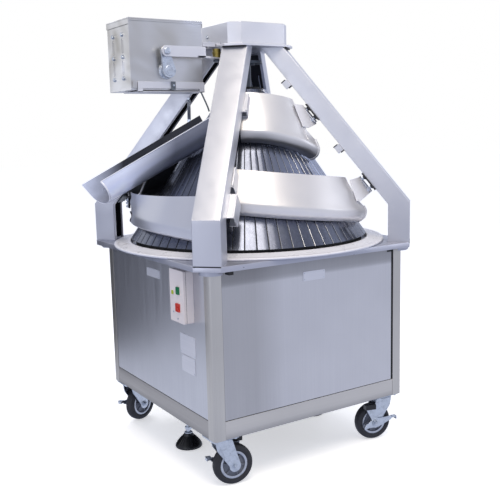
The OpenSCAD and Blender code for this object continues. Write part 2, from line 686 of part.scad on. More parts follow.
module cone_drum() {
  zt = cone_z1;
  rt = Rc(zt);
  color(dark) difference() {
    union() {
      rotate_extrude($fn = 128) polygon([[cone_r0, cone_z0], [rt, zt], [0, zt], [0, zt - 12],
        [rt - cone_t - 4, zt - 12], [cone_r0 - cone_t*1.22, cone_z0]]);
      // dark skirt in the gap over the deck
      rotate_extrude($fn = 128) polygon([[452, deck_z + 4], [462, deck_z + 4], [462, cone_z0 + 16], [452, cone_z0 + 16]]);
      // upper and lower hubs
      translate([0, 0, zt - 50]) cylinder(r = 44, h = 50);
      translate([0, 0, cone_z0 + 12]) cylinder(r = 52, h = 46);
      // spider arms
      intersection() {
        for (a = [0:90:270]) rotate([0, 0, a]) translate([30, -20, cone_z0 + 18]) cube([470, 40, 14]);
        translate([0, 0, cone_z0]) cylinder(r1 = cone_r0 - 2, r2 = rt - 2, h = zt - cone_z0, $fn = 128);
      }
    }
    translate([0, 0, cone_z0 - 5]) cylinder(r = shaft_r + fit, h = 700);
  }
}

module worm_wheel() {
  color(bronze) translate([0, 0, gear_z]) difference() {
    union() {
      translate([0, 0, -20]) cylinder(r = 70, h = 40);
      translate([0, 0, -32]) cylinder(r = 40, h = 64);
    }
    translate([0, 0, -40]) cylinder(r = shaft_r + fit, h = 80);
    // hollow round the worm
    for (a = [0:9:351]) rotate([0, 0, a]) translate([71, 0, -30]) cylinder(r = 2.4, h = 60, $fn = 24);
  }
}

// Places of the casters: front, right, left, rear
cx = [-swivel, swivel, -swivel, swivel];
cy = [-swivel, -swivel, swivel, swivel];

module caster_plates() {
  color(zinc) for (k = [0:3]) translate([cx[k], cy[k], 0]) {
    translate([-55, -45, cab_z0 - 6]) cube([110, 90, 6]);
    // king pin
    translate([0, 0, 163]) cylinder(r = 8, h = cab_z0 - 6 - 162.9);
    translate([0, 0, 158]) cylinder(r = 13, h = 5.5);
    for (i = [-42, 42], j = [-33, 33]) translate([i, j, cab_z0 - 13]) cylinder(r = 6.5, h = 7, $fn = 6);
  }
}
// Fork in the caster's own frame: swivel axis at the origin, axle at +X
module fork(k) {
  color(zinc) translate([cx[k], cy[k], 0]) rotate([0, 0, cast_a[k]]) difference() {
    union() {
      translate([0, 0, 177]) cylinder(r = 33, h = 6.6);
      translate([-32, -29, 171]) cube([66, 58, 6.01]);
      for (s = [25, -29]) translate([0, s + 4, 0]) rotate([90, 0, 0]) linear_extrude(4) union() {
        polygon([[-32, 177], [34, 177], [trail + 21.5, 79], [trail - 20.5, 66]]);
        translate([trail, 75]) circle(22);
      }
      // axle bolt with its nuts, and the pedal's boss
      translate([trail, 0, 75]) rotate([90, 0, 0]) cylinder(r = 6, h = 78, center = true);
      translate([trail, 29, 75]) rotate([-90, 0, 0]) cylinder(r = 12, h = 7);
      translate([trail, 36, 75]) rotate([-90, 0, 0]) cylinder(r = 14, h = 3);
      translate([trail, 38, 75]) rotate([-90, 0, 0]) cylinder(r = 10, h = 7, $fn = 6);
      translate([trail, -29, 75]) rotate([90, 0, 0]) cylinder(r = 10, h = 7, $fn = 6);
    }
    translate([0, 0, 165]) cylinder(r = 8 + fit, h = 30);
  }
}
module rim(k) {
  color([0.55, 0.57, 0.62]) translate([cx[k], cy[k], 0]) rotate([0, 0, cast_a[k]]) translate([trail, 0, 75]) rotate([90, 0, 0])
    rotate_extrude() polygon([[6 + fit, -22], [16, -22], [18, -8], [40, -7], [44, -17], [52, -18], [52, 18], [44, 17], [40, 7], [18, 8], [16, 22], [6 + fit, 22]]);
}
module tyre(k) {
  w = tyre_w/2;
  color(dark) translate([cx[k], cy[k], 0]) rotate([0, 0, cast_a[k]]) translate([trail, 0, 75]) rotate([90, 0, 0])
    rotate_extrude($fn = 96) polygon([[52 + fit, -w + 2], [60, -w], [68, -w + 2], [73, -w + 7], [wheel_r, -w + 13], [wheel_r, w - 13], [73, w - 7], [68, w - 2], [60, w], [52 + fit, w - 2]]);
}
// Brake pedal, a lever on the axle outside the fork
module pedal(k) {
  color(zinc) translate([cx[k], cy[k], 0]) rotate([0, 0, cast_a[k]]) translate([trail, 30, 75]) rotate([-90, 0, 0]) difference() {
    union() {
      cylinder(r = 21, h = 5);
      // here +Y points down
      linear_extrude(5) polygon([[-74, -22], [-70, -6], [-14, 16], [14, 18], [46, 20], [48, 10], [16, -14], [-14, -18]]);
      translate([-88, -24, 0]) cube([20, 14, 18]);
      translate([44, 9, 0]) cube([8, 13, 12]);
      // upper arm with the foot pad
      linear_extrude(5) polygon([[-12, -14], [16, -12], [46, -68], [14, -72]]);
      translate([8, -87, 0]) cube([46, 22, 26]);
    }
    translate([0, 0, -1]) cylinder(r = 12 + fit, h = 8);
  }
}
module fork_front() { fork(0); }
module fork_right() { fork(1); }
module fork_left() { fork(2); }
module fork_rear() { fork(3); }
module rim_front() { rim(0); }
module rim_right() { rim(1); }
module rim_left() { rim(2); }
module rim_rear() { rim(3); }
module tyre_front() { tyre(0); }
module tyre_right() { tyre(1); }
module tyre_left() { tyre(2); }
module tyre_rear() { tyre(3); }
module pedal_front() { pedal(0); }
module pedal_right() { pedal(1); }
module pedal_left() { pedal(2); }
module pedal_rear() { pedal(3); }

// Levelling foot standing on the floor, its stud up through the cross member
module foot(x) {
  color(dark) translate([x, 0, 0]) union() {
    rotate_extrude() polygon([[0, 0], [foot_r - 3, 0], [foot_r, 4], [foot_r - 1, 10], [foot_r - 18, 32], [20, 50], [16, 56], [0, 56]]);
    translate([0, 0, 55]) cylinder(r = 8, h = 190);
    translate([0, 0, 72]) cylinder(r = 15, h = 10, $fn = 6);
  }
}
module foot_left() { foot(-foot_x); }
module foot_right() { foot(foot_x); }

cabinet_frame();
panel_front();
panel_left();
panel_right();
panel_rear();
deck_plate();
rim_ring();
leg_front();
leg_right();
leg_left();
leg_rear();
frame_bolts();
top_plate();
top_cap();
shaft_bearings();
track_lower_front();
track_lower_left();
track_rear_left();
track_rear_right();
track_upper_front();
discharge_chute();
track_mounts();
duster_hopper();
duster_bracket();
duster_crank();
duster_roller();
link_bar();
pivot_bush();
eccentric_strap();
duster_lid();
duster_slide();
control_box();
start_button();
stop_button();
indicator_lamp();
gear_reducer();
drive_motor();
motor_rotor();
main_shaft();
cone_drum();
worm_wheel();
caster_plates();
fork_front();
fork_right();
fork_left();
fork_rear();
rim_front();
rim_right();
rim_left();
rim_rear();
tyre_front();
tyre_right();
tyre_left();
tyre_rear();
pedal_front();
pedal_right();
pedal_left();
pedal_rear();
foot_left();
foot_right();
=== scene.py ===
import math

import bmesh
import bpy
import numpy as np
from mathutils import Matrix, Vector


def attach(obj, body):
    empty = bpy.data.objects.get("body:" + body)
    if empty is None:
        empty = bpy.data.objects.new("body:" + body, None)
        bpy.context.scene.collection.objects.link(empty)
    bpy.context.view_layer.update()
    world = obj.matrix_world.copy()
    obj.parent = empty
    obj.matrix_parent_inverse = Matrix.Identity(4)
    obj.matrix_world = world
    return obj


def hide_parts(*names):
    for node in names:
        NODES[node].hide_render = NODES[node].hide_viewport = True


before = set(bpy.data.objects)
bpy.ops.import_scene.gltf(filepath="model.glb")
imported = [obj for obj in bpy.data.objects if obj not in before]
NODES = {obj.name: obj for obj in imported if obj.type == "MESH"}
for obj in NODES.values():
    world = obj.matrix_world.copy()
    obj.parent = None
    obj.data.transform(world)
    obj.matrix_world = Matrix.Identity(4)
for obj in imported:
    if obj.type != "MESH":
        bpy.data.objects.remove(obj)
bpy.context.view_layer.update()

MM = 0.001
scene = bpy.context.scene


# ---------------------------------------------------------------- geometry helpers (millimetres)
def T(x=0, y=0, z=0):
    return Matrix.Translation((x, y, z))


def R(deg, axis):
    return Matrix.Rotation(math.radians(deg), 4, axis)


def along(p, d):
    """Matrix that puts local +Z on direction d, with its origin at p."""
    d = Vector(d).normalized()
    return Matrix.Translation(p) @ d.to_track_quat("Z", "Y").to_matrix().to_4x4()


class Geo:
    """Collects faces, each with a material index."""

    def __init__(self):
        self.v, self.f, self.m, self.s = [], [], [], []

    def add(self, verts, faces, mi=0, M=None, smooth=False):
        k = len(self.v)
        if M is not None:
            verts = [M @ Vector(p) for p in verts]
        self.v += [tuple(p) for p in verts]
        for j, f in enumerate(faces):
            self.f.append([k + i for i in f])
            self.m.append(mi[j] if isinstance(mi, (list, tuple)) else mi)
            self.s.append(smooth)

    def prism(self, poly, z0, z1, mi=0, M=None, smooth=False):
        n = len(poly)
        v = [(x, y, z0) for x, y in poly] + [(x, y, z1) for x, y in poly]
        f = [list(range(n))[::-1], list(range(n, 2 * n))]
        f += [[i, (i + 1) % n, n + (i + 1) % n, n + i] for i in range(n)]
        self.add(v, f, mi, M, smooth)

    def box(self, x0, x1, y0, y1, z0, z1, mi=0, M=None):
        self.prism([(x0, y0), (x1, y0), (x1, y1), (x0, y1)], z0, z1, mi, M)

    def cyl(self, r, z0, z1, n=32, mi=0, M=None, r2=None):
        r2 = r if r2 is None else r2
        v, f = [], []
        for k, (rr, z) in enumerate(((r, z0), (r2, z1))):
            v += [(rr * math.cos(2 * math.pi * i / n), rr * math.sin(2 * math.pi * i / n), z) for i in range(n)]
        f = [list(range(n))[::-1], list(range(n, 2 * n))]
        f += [[i, (i + 1) % n, n + (i + 1) % n, n + i] for i in range(n)]
        self.add(v, f, mi, M, n > 12)

    def lathe(self, prof, n=64, mi=0, M=None, smooth=True):
        """Closed profile (r, z) turned about local Z."""
        m = len(prof)
        v = [(r * math.cos(2 * math.pi * i / n), r * math.sin(2 * math.pi * i / n), z) for i in range(n) for r, z in prof]
        f, mm = [], []
        for i in range(n):
            for j in range(m):
                a, b = i * m + j, i * m + (j + 1) % m
                c, d = ((i + 1) % n) * m + (j + 1) % m, ((i + 1) % n) * m + j
                if prof[j][0] < 1e-6 and prof[(j + 1) % m][0] < 1e-6:
                    continue
                f.append([a, d, c, b])
                mm.append(mi[j] if isinstance(mi, (list, tuple)) else mi)
        self.add(v, f, mm, M, smooth)

    def hexa(self, r, z0, z1, mi=0, M=None, turn=0):
        self.prism([(r * math.cos(math.radians(60 * i + turn)), r * math.sin(math.radians(60 * i + turn))) for i in range(6)], z0, z1, mi, M)

    def tube(self, path, r, n=10, mi=0):
        P = [Vector(p) for p in path]
        v, f = [], []
        up = Vector((0.3, 0.9, 0.3)).normalized()
        for i, p in enumerate(P):
            d = (P[min(i + 1, len(P) - 1)] - P[max(i - 1, 0)]).normalized()
            a = d.cross(up).normalized()
            b = d.cross(a)
            v += [p + a * (r * math.cos(2 * math.pi * k / n)) + b * (r * math.sin(2 * math.pi * k / n)) for k in range(n)]
        for i in range(len(P) - 1):
            f += [[i * n + k, i * n + (k + 1) % n, (i + 1) * n + (k + 1) % n, (i + 1) * n + k] for k in range(n)]
        f += [list(range(n))[::-1], [(len(P) - 1) * n + k for k in range(n)]]
        self.add(v, f, mi, None, True)


def piece(name, g, mats, body="frame", bevel=0.0, seg=2, repl=(), angle=32, weld=True):
    """Makes one object of the collected faces, riding on a body."""
    me = bpy.data.meshes.new(name)
    me.from_pydata([(x * MM, y * MM, z * MM) for x, y, z in g.v], [], g.f)
    for m in mats:
        me.materials.append(m)
    me.polygons.foreach_set("material_index", g.m)
    me.polygons.foreach_set("use_smooth", [True] * len(g.f))
    bm = bmesh.new()
    bm.from_mesh(me)
    if weld:
        bmesh.ops.remove_doubles(bm, verts=bm.verts, dist=1e-6)
    bmesh.ops.dissolve_degenerate(bm, edges=bm.edges, dist=1e-7)
    bmesh.ops.recalc_face_normals(bm, faces=bm.faces)
    bm.to_mesh(me)
    bm.free()
    me.set_sharp_from_angle(angle=math.radians(angle))
    o = bpy.data.objects.new(name, me)
    scene.collection.objects.link(o)
    if bevel:
        b = o.modifiers.new("edges", "BEVEL")
        b.width, b.segments, b.limit_method, b.angle_limit = bevel * MM, seg, "ANGLE", math.radians(32)
        b.harden_normals = True
        b.use_clamp_overlap = True
    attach(o, body)
    if repl:
        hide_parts(*repl)
    return o


def round_poly(pts, rad, n=5):
    """Polygon with each corner rounded; rad is one radius or one per corner."""
    out = []
    k = len(pts)
    for i in range(k):
        p, a, b = Vector(pts[i]), Vector(pts[i - 1]), Vector(pts[(i + 1) % k])
        r = rad[i] if isinstance(rad, (list, tuple)) else rad
        u, w = (a - p), (b - p)
        if r <= 0:
            out.append(tuple(p))
            continue
        lu, lw = u.length, w.length
        u, w = u / lu, w / lw
        half = math.acos(max(-1, min(1, u.dot(w)))) / 2
        d = min(r / math.tan(half), 0.49 * lu, 0.49 * lw)
        rr = d * math.tan(half)
        c = p + (u + w).normalized() * (rr / math.sin(half))
        a0, a1 = p + u * d - c, p + w * d - c
        t0, t1 = math.atan2(a0.y, a0.x), math.atan2(a1.y, a1.x)
        while t1 - t0 > math.pi:
            t1 -= 2 * math.pi
        while t1 - t0 < -math.pi:
            t1 += 2 * math.pi
        out += [(c.x + rr * math.cos(t0 + (t1 - t0) * j / n), c.y + rr * math.sin(t0 + (t1 - t0) * j / n)) for j in range(n + 1)]
    return out


# ---------------------------------------------------------------- materials
def lin(r, g, b):
    return tuple((c / 255 / 12.92) if c <= 10.3 else ((c / 255 + 0.055) / 1.055) ** 2.4 for c in (r, g, b)) + (1.0,)


class Mat:
    """A node material around one principled shader, with its textures in object space."""

    def __init__(self, name, rough=0.4, metal=0.0, color=None, **sock):
        self.m = bpy.data.materials.new(name)
        self.m.use_nodes = True
        self.nt = self.m.node_tree
        self.b = self.nt.nodes["Principled BSDF"]
        self.b.inputs["Roughness"].default_value = rough
        self.b.inputs["Metallic"].default_value = metal
        if color:
            self.b.inputs["Base Color"].default_value = color
            self.m.diffuse_color = color
        for k, v in sock.items():
            self.b.inputs[k.replace("_", " ")].default_value = v
        self.tc = self.nt.nodes.new("ShaderNodeTexCoord")

    def link(self, a, b):
        self.nt.links.new(a, b)

    def noise(self, scale=(1, 1, 1), size=5.0, detail=4.0, rough=0.55, rot=(0, 0, 0), distortion=0.0):
        mp = self.nt.nodes.new("ShaderNodeMapping")
        mp.inputs["Scale"].default_value = scale
        mp.inputs["Rotation"].default_value = rot
        self.link(self.tc.outputs["Object"], mp.inputs["Vector"])
        n = self.nt.nodes.new("ShaderNodeTexNoise")
        n.inputs["Scale"].default_value = size
        n.inputs["Detail"].default_value = detail
        n.inputs["Roughness"].default_value = rough
        n.inputs["Distortion"].default_value = distortion
        self.link(mp.outputs["Vector"], n.inputs["Vector"])
        return n.outputs["Fac"]

    def ramp(self, fac, stops):
        r = self.nt.nodes.new("ShaderNodeValToRGB")
        e = r.color_ramp.elements
        e[0].position, e[0].color = stops[0]
        e[1].position, e[1].color = stops[-1]
        for p, c in stops[1:-1]:
            x = e.new(p)
            x.color = c
        self.link(fac, r.inputs["Fac"])
        return r.outputs["Color"]

    def span(self, fac, lo, hi, a=0.3, b=0.7):
        r = self.nt.nodes.new("ShaderNodeMapRange")
        r.inputs["From Min"].default_value, r.inputs["From Max"].default_value = a, b
        r.inputs["To Min"].default_value, r.inputs["To Max"].default_value = lo, hi
        self.link(fac, r.inputs["Value"])
        return r.outputs["Result"]

    def mix(self, fac, a, b, mode="MIX"):
        x = self.nt.nodes.new("ShaderNodeMix")
        x.data_type, x.blend_type = "RGBA", mode
        for k, val in ((0, fac), (6, a), (7, b)):
            if isinstance(val, bpy.types.NodeSocket):
                self.link(val, x.inputs[k])
            else:
                x.inputs[k].default_value = val
        return x.outputs[2]

    def color(self, out):
        self.link(out, self.b.inputs["Base Color"])

    def roughness(self, out):
        self.link(out, self.b.inputs["Roughness"])

    def bump(self, height, strength=0.1, dist=0.0005, onto=None):
        n = self.nt.nodes.new("ShaderNodeBump")
        n.inputs["Strength"].default_value, n.inputs["Distance"].default_value = strength, dist
        self.link(height, n.inputs["Height"])
        if onto is not None:
            self.link(onto, n.inputs["Normal"])
        self.link(n.outputs["Normal"], self.b.inputs["Normal"])
        return n.outputs["Normal"]

    def edges(self, radius=0.003, gain=(0.02, 0.25)):
        """Mask that is 1 along worn edges."""
        bv = self.nt.nodes.new("ShaderNodeBevel")
        bv.samples = 4
        bv.inputs["Radius"].default_value = radius
        ge = self.nt.nodes.new("ShaderNodeNewGeometry")
        d = self.nt.nodes.new("ShaderNodeVectorMath")
        d.operation = "DOT_PRODUCT"
        self.link(bv.outputs["Normal"], d.inputs[0])
        self.link(ge.outputs["Normal"], d.inputs[1])
        return self.span(d.outputs["Value"], 1.0, 0.0, 1 - gain[1], 1 - gain[0])


def shade(c, k):
    return (c[0] * k, c[1] * k, c[2] * k, 1.0)


def painted(name, col, rough=0.36, vary=0.04, peel=0.05, wear=0.12, coat=0.0, metal=0.0, rv=1.0, under=0.0, end_shade=None, foot_shade=None):
    """Lacquered sheet metal: faint mottling, orange peel, edges rubbed lighter; optional painted light and shade by
    facing and by position.
    """
    m = Mat(name, rough, metal, col, Coat_Weight=coat, Coat_Roughness=0.15)
    big = m.noise(size=3.5, detail=3)
    c = m.ramp(big, [(0.3, shade(col, 1 - vary)), (0.7, shade(col, 1 + vary))])
    dust = m.noise(size=42, detail=6, rough=0.65)
    c = m.mix(m.span(dust, 0.0, 0.10, 0.55, 0.8), c, shade(col, 0.82))
    if under:
        # painted light and shade: faces turned down are mixed toward col times (1 - under), darker when under is
        # positive, lighter when it is negative
        ge = m.nt.nodes.new("ShaderNodeNewGeometry")
        sx = m.nt.nodes.new("ShaderNodeSeparateXYZ")
        m.link(ge.outputs["Normal"], sx.inputs["Vector"])
        c = m.mix(m.span(sx.outputs["Z"], 1.0, 0.0, -0.75, 0.05), c, shade(col, 1 - under))
    if end_shade:
        # painted shade: multiplied darker toward one end along object X
        sx = m.nt.nodes.new("ShaderNodeSeparateXYZ")
        m.link(m.tc.outputs["Object"], sx.inputs["Vector"])
        c = m.mix(m.span(sx.outputs["X"], 0.0, 1.0, end_shade[0], end_shade[1]), c, end_shade[2], "MULTIPLY")
    if foot_shade:
        # painted shade: mixed toward the given darker colour below a height, darker toward the foot
        sx = m.nt.nodes.new("ShaderNodeSeparateXYZ")
        m.link(m.tc.outputs["Object"], sx.inputs["Vector"])
        c = m.mix(m.span(sx.outputs["Z"], 1.0, 0.0, foot_shade[0], foot_shade[1]), c, foot_shade[2])
    if wear:
        c = m.mix(m.span(m.edges(0.0025), 0.0, wear, 0.1, 1.0), c, (0.95, 0.95, 0.97, 1))
    m.color(c)
    m.roughness(m.span(m.noise(size=18, detail=5), rough - 0.07 * rv, rough + 0.09 * rv))
    m.bump(m.noise(size=650, detail=2), peel, 0.0002)
    return m.m


def brushed(name, col, rough=0.3, scale=(3, 3, 420), depth=0.06, vary=0.06, wear=0.0, metal=1.0, lines=0.22, top=None, side=None, stops=()):
    """Brushed stainless sheet; the lines run across the axis with the large scale."""
    m = Mat(name, rough, metal, col)
    fine = m.noise(scale=scale, size=1.0, detail=3, rough=0.6)
    broad = m.noise(size=2.2, detail=3)
    c = m.ramp(broad, [(0.3, shade(col, 1 - vary)), (0.7, shade(col, 1 + vary * 0.6))])
    c = m.mix(m.span(fine, 0.0, lines), c, shade(col, 0.8))
    smear = m.noise(size=9, detail=7, rough=0.7, distortion=0.6)
    c = m.mix(m.span(smear, 0.0, 0.12, 0.58, 0.8), c, shade(col, 0.72))
    if top:
        # multiplied darker toward one height by the ramp stops; on the front panel this is painted shade under the deck
        sx = m.nt.nodes.new("ShaderNodeSeparateXYZ")
        m.link(m.tc.outputs["Object"], sx.inputs["Vector"])
        k = m.ramp(m.span(sx.outputs["Z"], 0.0, 1.0, top[0], top[1]), [(a, (b, b * 0.985, b * 0.97, 1)) for a, b in stops])
        c = m.mix(1.0, c, k, "MULTIPLY")
    if side:
        # painted shade: multiplied darker toward lower object X
        sx = m.nt.nodes.new("ShaderNodeSeparateXYZ")
        m.link(m.tc.outputs["Object"], sx.inputs["Vector"])
        c = m.mix(m.span(sx.outputs["X"], 1.0, 0.0, side[0], side[1]), c, side[2], "MULTIPLY")
    if wear:
        c = m.mix(m.span(m.edges(0.002), 0.0, wear, 0.1, 1.0), c, (0.9, 0.9, 0.92, 1))
    m.color(c)
    r = m.span(fine, rough - 0.06, rough + 0.08)
    m.roughness(r)
    m.bump(fine, depth, 0.0003)
    return m.m


def zinc_plate(name, col, rough=0.32):
    """Bright zinc plating with a cloudy spangle."""
    m = Mat(name, rough, 1.0, col)
    cl = m.noise(size=60, detail=5, rough=0.6, distortion=0.8)
    c = m.ramp(cl, [(0.3, shade(col, 0.78)), (0.5, col), (0.75, shade(col, 1.12))])
    m.color(m.mix(m.span(m.edges(0.0012), 0.0, 0.35, 0.1, 1.0), c, (0.92, 0.93, 0.95, 1)))
    m.roughness(m.span(m.noise(size=120, detail=4), rough - 0.08, rough + 0.14))
    m.bump(m.noise(size=300, detail=4), 0.08, 0.0003)
    return m.m


def plastic(name, col, rough=0.42, grain=900, bump=0.06, vary=0.05):
    m = Mat(name, rough, 0.0, col)
    n = m.noise(size=14, detail=5)
    c = m.ramp(n, [(0.3, shade(col, 1 - vary)), (0.7, shade(col, 1 + vary))])
    m.color(m.mix(m.span(m.edges(0.0015), 0.0, 0.18, 0.1, 1.0), c, shade(col, 1.25)))
    m.roughness(m.span(m.noise(size=35, detail=5), rough - 0.06, rough + 0.1))
    m.bump(m.noise(size=grain, detail=2), bump, 0.0002)
    return m.m


def rubber(name, col):
    m = Mat(name, 0.62, 0.0, col)
    n = m.noise(size=25, detail=6, rough=0.7)
    c = m.ramp(n, [(0.3, shade(col, 0.75)), (0.55, col), (0.8, shade(col, 1.7))])
    m.color(c)
    m.roughness(m.span(m.noise(size=40, detail=5), 0.5, 0.75))
    m.bump(m.noise(size=420, detail=5, rough=0.7), 0.18, 0.0004)
    return m.m


def cone_coat(name):
    """Dark satin coat on the slats, finely brushed along their length."""
    col = lin(101, 106, 122)
    m = Mat(name, 0.28, 0.9, col, Coat_Weight=0.2, Coat_Roughness=0.2)
    br = m.noise(scale=(150, 150, 4), size=1.0, detail=3)
    c = m.ramp(br, [(0.25, shade(col, 0.8)), (0.6, col), (0.85, shade(col, 1.2))])
    fl = m.noise(size=90, detail=5, rough=0.65)
    c = m.mix(m.span(fl, 0.0, 0.10, 0.64, 0.85), c, lin(150, 150, 156))
    # painted reflection: the upper slats are mixed paler and bluer toward +X
    sx = m.nt.nodes.new("ShaderNodeSeparateXYZ")
    m.link(m.tc.outputs["Object"], sx.inputs["Vector"])
    pale = m.mix(m.span(sx.outputs["X"], 0.0, 0.85, -0.12, 0.12), c, lin(170, 180, 208))
    c = m.mix(m.span(sx.outputs["Z"], 0.0, 1.0, 0.98, 1.08), c, pale)
    m.color(c)
    m.roughness(m.span(m.noise(size=14, detail=5), 0.22, 0.33))
    m.bump(br, 0.03, 0.0002)
    return m.m


def chute_inside(name):
    """Dark trough inside that turns light toward its outlet."""
    dark, lite = lin(30, 31, 38), lin(216, 220, 236)
    m = Mat(name, 0.3, 0.6, dark)
    gr = m.nt.nodes.new("ShaderNodeSeparateXYZ")
    m.link(m.tc.outputs["Object"], gr.inputs["Vector"])
    k = m.span(gr.outputs["X"], 1.0, 0.0, -0.56, -0.44)
    c = m.mix(k, dark, lite)
    m.color(m.mix(m.span(m.noise(size=30, detail=5), 0.0, 0.2), c, shade(dark, 1.5)))
    m.roughness(m.span(m.noise(size=16, detail=5), 0.24, 0.38))
    m.bump(m.noise(scale=(1, 1, 1), size=200, detail=3), 0.04, 0.0002)
    return m.m


def swirl_steel(name):
    """Hand-brushed stainless: cloudy swirls, warm in the dull patches."""
    col = lin(216, 215, 214)
    m = Mat(name, 0.3, 1.0, col)
    cl = m.noise(size=3.4, detail=2, rough=0.5, distortion=1.3)
    c = m.ramp(cl, [(0.28, lin(178, 174, 166)), (0.48, col), (0.70, lin(244, 245, 250))])
    fine = m.noise(scale=(6, 6, 260), size=1.0, detail=3, rough=0.6)
    m.color(m.mix(m.span(fine, 0.0, 0.14), c, shade(col, 0.8)))
    m.roughness(m.span(cl, 0.38, 0.24))
    m.bump(fine, 0.012, 0.0003)
    return m.m


SILVER = lin(217, 218, 224)
M_paint = painted("silver_paint", SILVER, 0.38, vary=0.03, peel=0.03, metal=0.6)
# painted light and shade on the sheets: M_sheet has lighter undersides (painted reflection), M_sheet_up darker
# undersides (painted shade), M_sheet_left is a darker shaded copy, and M_sheet_chute is darker toward its upper end
# (painted shade) with lighter undersides
M_sheet = painted("silver_sheet", lin(222, 220, 221), 0.4, vary=0.02, peel=0.004, metal=0.62, rv=0.25, under=-0.36)
M_sheet_up = painted("silver_sheet_upper", lin(220, 219, 221), 0.38, vary=0.02, peel=0.004, metal=0.66, rv=0.25, under=0.7)
M_sheet_left = painted("silver_sheet_left", lin(203, 205, 214), 0.33, vary=0.02, peel=0.004, metal=0.72, rv=0.25, under=-0.1)
M_sheet_chute = painted("silver_sheet_chute", lin(216, 220, 236), 0.36, vary=0.02, peel=0.004, metal=0.45, rv=0.25, under=-0.45, end_shade=(-0.49, -0.34, (0.2, 0.205, 0.225, 1)))
# painted highlight: a bright copy for lips, rims and rolled edges that catch the light
M_highlight = painted("painted_highlight_edge", lin(244, 245, 250), 0.36, vary=0.02, peel=0.004, metal=0.3)
# lit and shaded copies of the leg paint, each with painted shade toward the foot
M_legleft = painted("leg_left_paint", lin(238, 239, 246), 0.38, vary=0.03, peel=0.03, metal=0.6, foot_shade=(0.93, 1.16, lin(190, 191, 199)))
M_legfront = painted("leg_front_paint", SILVER, 0.38, vary=0.03, peel=0.03, metal=0.6, foot_shade=(0.966, 0.98, lin(196, 198, 208)))
M_legright = painted("leg_right_paint", lin(220, 221, 227), 0.38, vary=0.03, peel=0.03, metal=0.6, foot_shade=(0.9, 1.16, lin(192, 193, 201)))
M_lipfar = painted("lip_shaded", lin(126, 118, 122), 0.4, vary=0.04, peel=0.02, metal=0.2)
# painted light: a lighter, less metallic copy of the sheet for the end tabs
M_tab_lit = painted("track_tab_painted_light", lin(226, 226, 231), 0.45, vary=0.03, peel=0.01, metal=0.2, rv=0.4)
M_deck = painted("deck_paint", lin(182, 184, 196), 0.34, metal=0.7)
M_black = painted("black_inside", lin(24, 24, 28), 0.45, wear=0.0)
M_chutein = chute_inside("chute_inside")
# painted highlight: a lighter metal for the slats' chamfers
M_edge = zinc_plate("slat_edge", lin(158, 160, 168), 0.36)
# painted shade: the tracks' inner faces near black
M_trackin_shade = painted("track_inside_painted_shade", lin(34, 35, 42), 0.34, wear=0.0)
M_ring = painted("ring_coat", lin(228, 228, 234), 0.3, vary=0.02, wear=0.0)
M_cone = cone_coat("cone_coat")
# painted shade: near black in the cone's grooves and inside its shell
M_groove_shade = painted("cone_gap_painted_shade", lin(14, 14, 17), 0.5, wear=0.0)
M_panel = brushed("panel_steel", lin(214, 215, 220), 0.36, (300, 300, 2.0), 0.008, lines=0.1)
# painted shade on the front panel: darker toward its top under the deck, and on its left part
M_panelf = brushed("panel_front_steel", lin(214, 215, 220), 0.36, (300, 300, 2.0), 0.008, lines=0.1, top=(0.70, 0.812), side=(-0.262, -0.136, (0.76, 0.755, 0.745, 1)), stops=((0.0, 1.0), (0.30, 1.0), (0.40, 0.72), (0.5, 0.62), (0.75, 0.56), (1.0, 0.46)))
M_post = brushed("post_steel", lin(206, 203, 198), 0.36, (420, 420, 2.0), 0.05, vary=0.09)
# rails darker toward their lower edge, and darker on the left face as painted shade
M_rail = brushed("rail_steel", lin(212, 210, 207), 0.36, (2.5, 2.5, 420), 0.05, metal=0.85, top=(0.236, 0.184), side=(-0.4385, -0.428, (0.74, 0.735, 0.735, 1)), stops=((0.0, 1.0), (0.4, 0.97), (1.0, 0.66)))
M_hop = swirl_steel("hopper_steel")
M_zinc = zinc_plate("zinc", lin(205, 212, 222))
M_dsteel = painted("mount_steel", lin(88, 96, 106), 0.4)
M_brass = brushed("bronze", lin(168, 150, 84), 0.32, (200, 200, 20), 0.05)
M_cast = painted("cast_body", lin(84, 92, 100), 0.5, peel=0.25)
M_motor = painted("motor_paint", lin(104, 114, 124), 0.42)
M_box = plastic("box_plastic", lin(238, 228, 224), 0.45)
M_green = plastic("button_green", lin(26, 120, 74), 0.25, vary=0.08)
M_red = plastic("button_red", lin(206, 52, 36), 0.25, vary=0.08)
M_lamp = plastic("lamp_lens", lin(176, 190, 40), 0.22, vary=0.1)
M_rim = plastic("wheel_rim", lin(116, 120, 130), 0.4)
M_rimring = zinc_plate("rim_ring_metal", lin(196, 200, 208), 0.3)
M_tyre = rubber("tyre_rubber", lin(42, 42, 46))
M_foot = plastic("foot_black", lin(20, 20, 22), 0.3)
M_plate = brushed("blank_plate", lin(230, 230, 235), 0.42, (2, 2, 300), 0.03, metal=0.5)
M_blackmetal = painted("black_metal", lin(26, 26, 30), 0.35, wear=0.05)
# near black for dark joints and parts, and as painted shade in gaps and under edges
M_dark_and_shade = painted("dark_and_painted_shade", lin(18, 18, 20), 0.6, wear=0.0)

# ---------------------------------------------------------------- main dimensions (mm)
S = 440.0
Z0, ZR, ZT = 190.0, 258.0, 818.0
DECK = 822.0


def Rc(z):
    return 478.0 - 0.68 * (z - 850.0)


LEG_AZ = {"front": 225, "right": 315, "left": 135, "rear": 45}


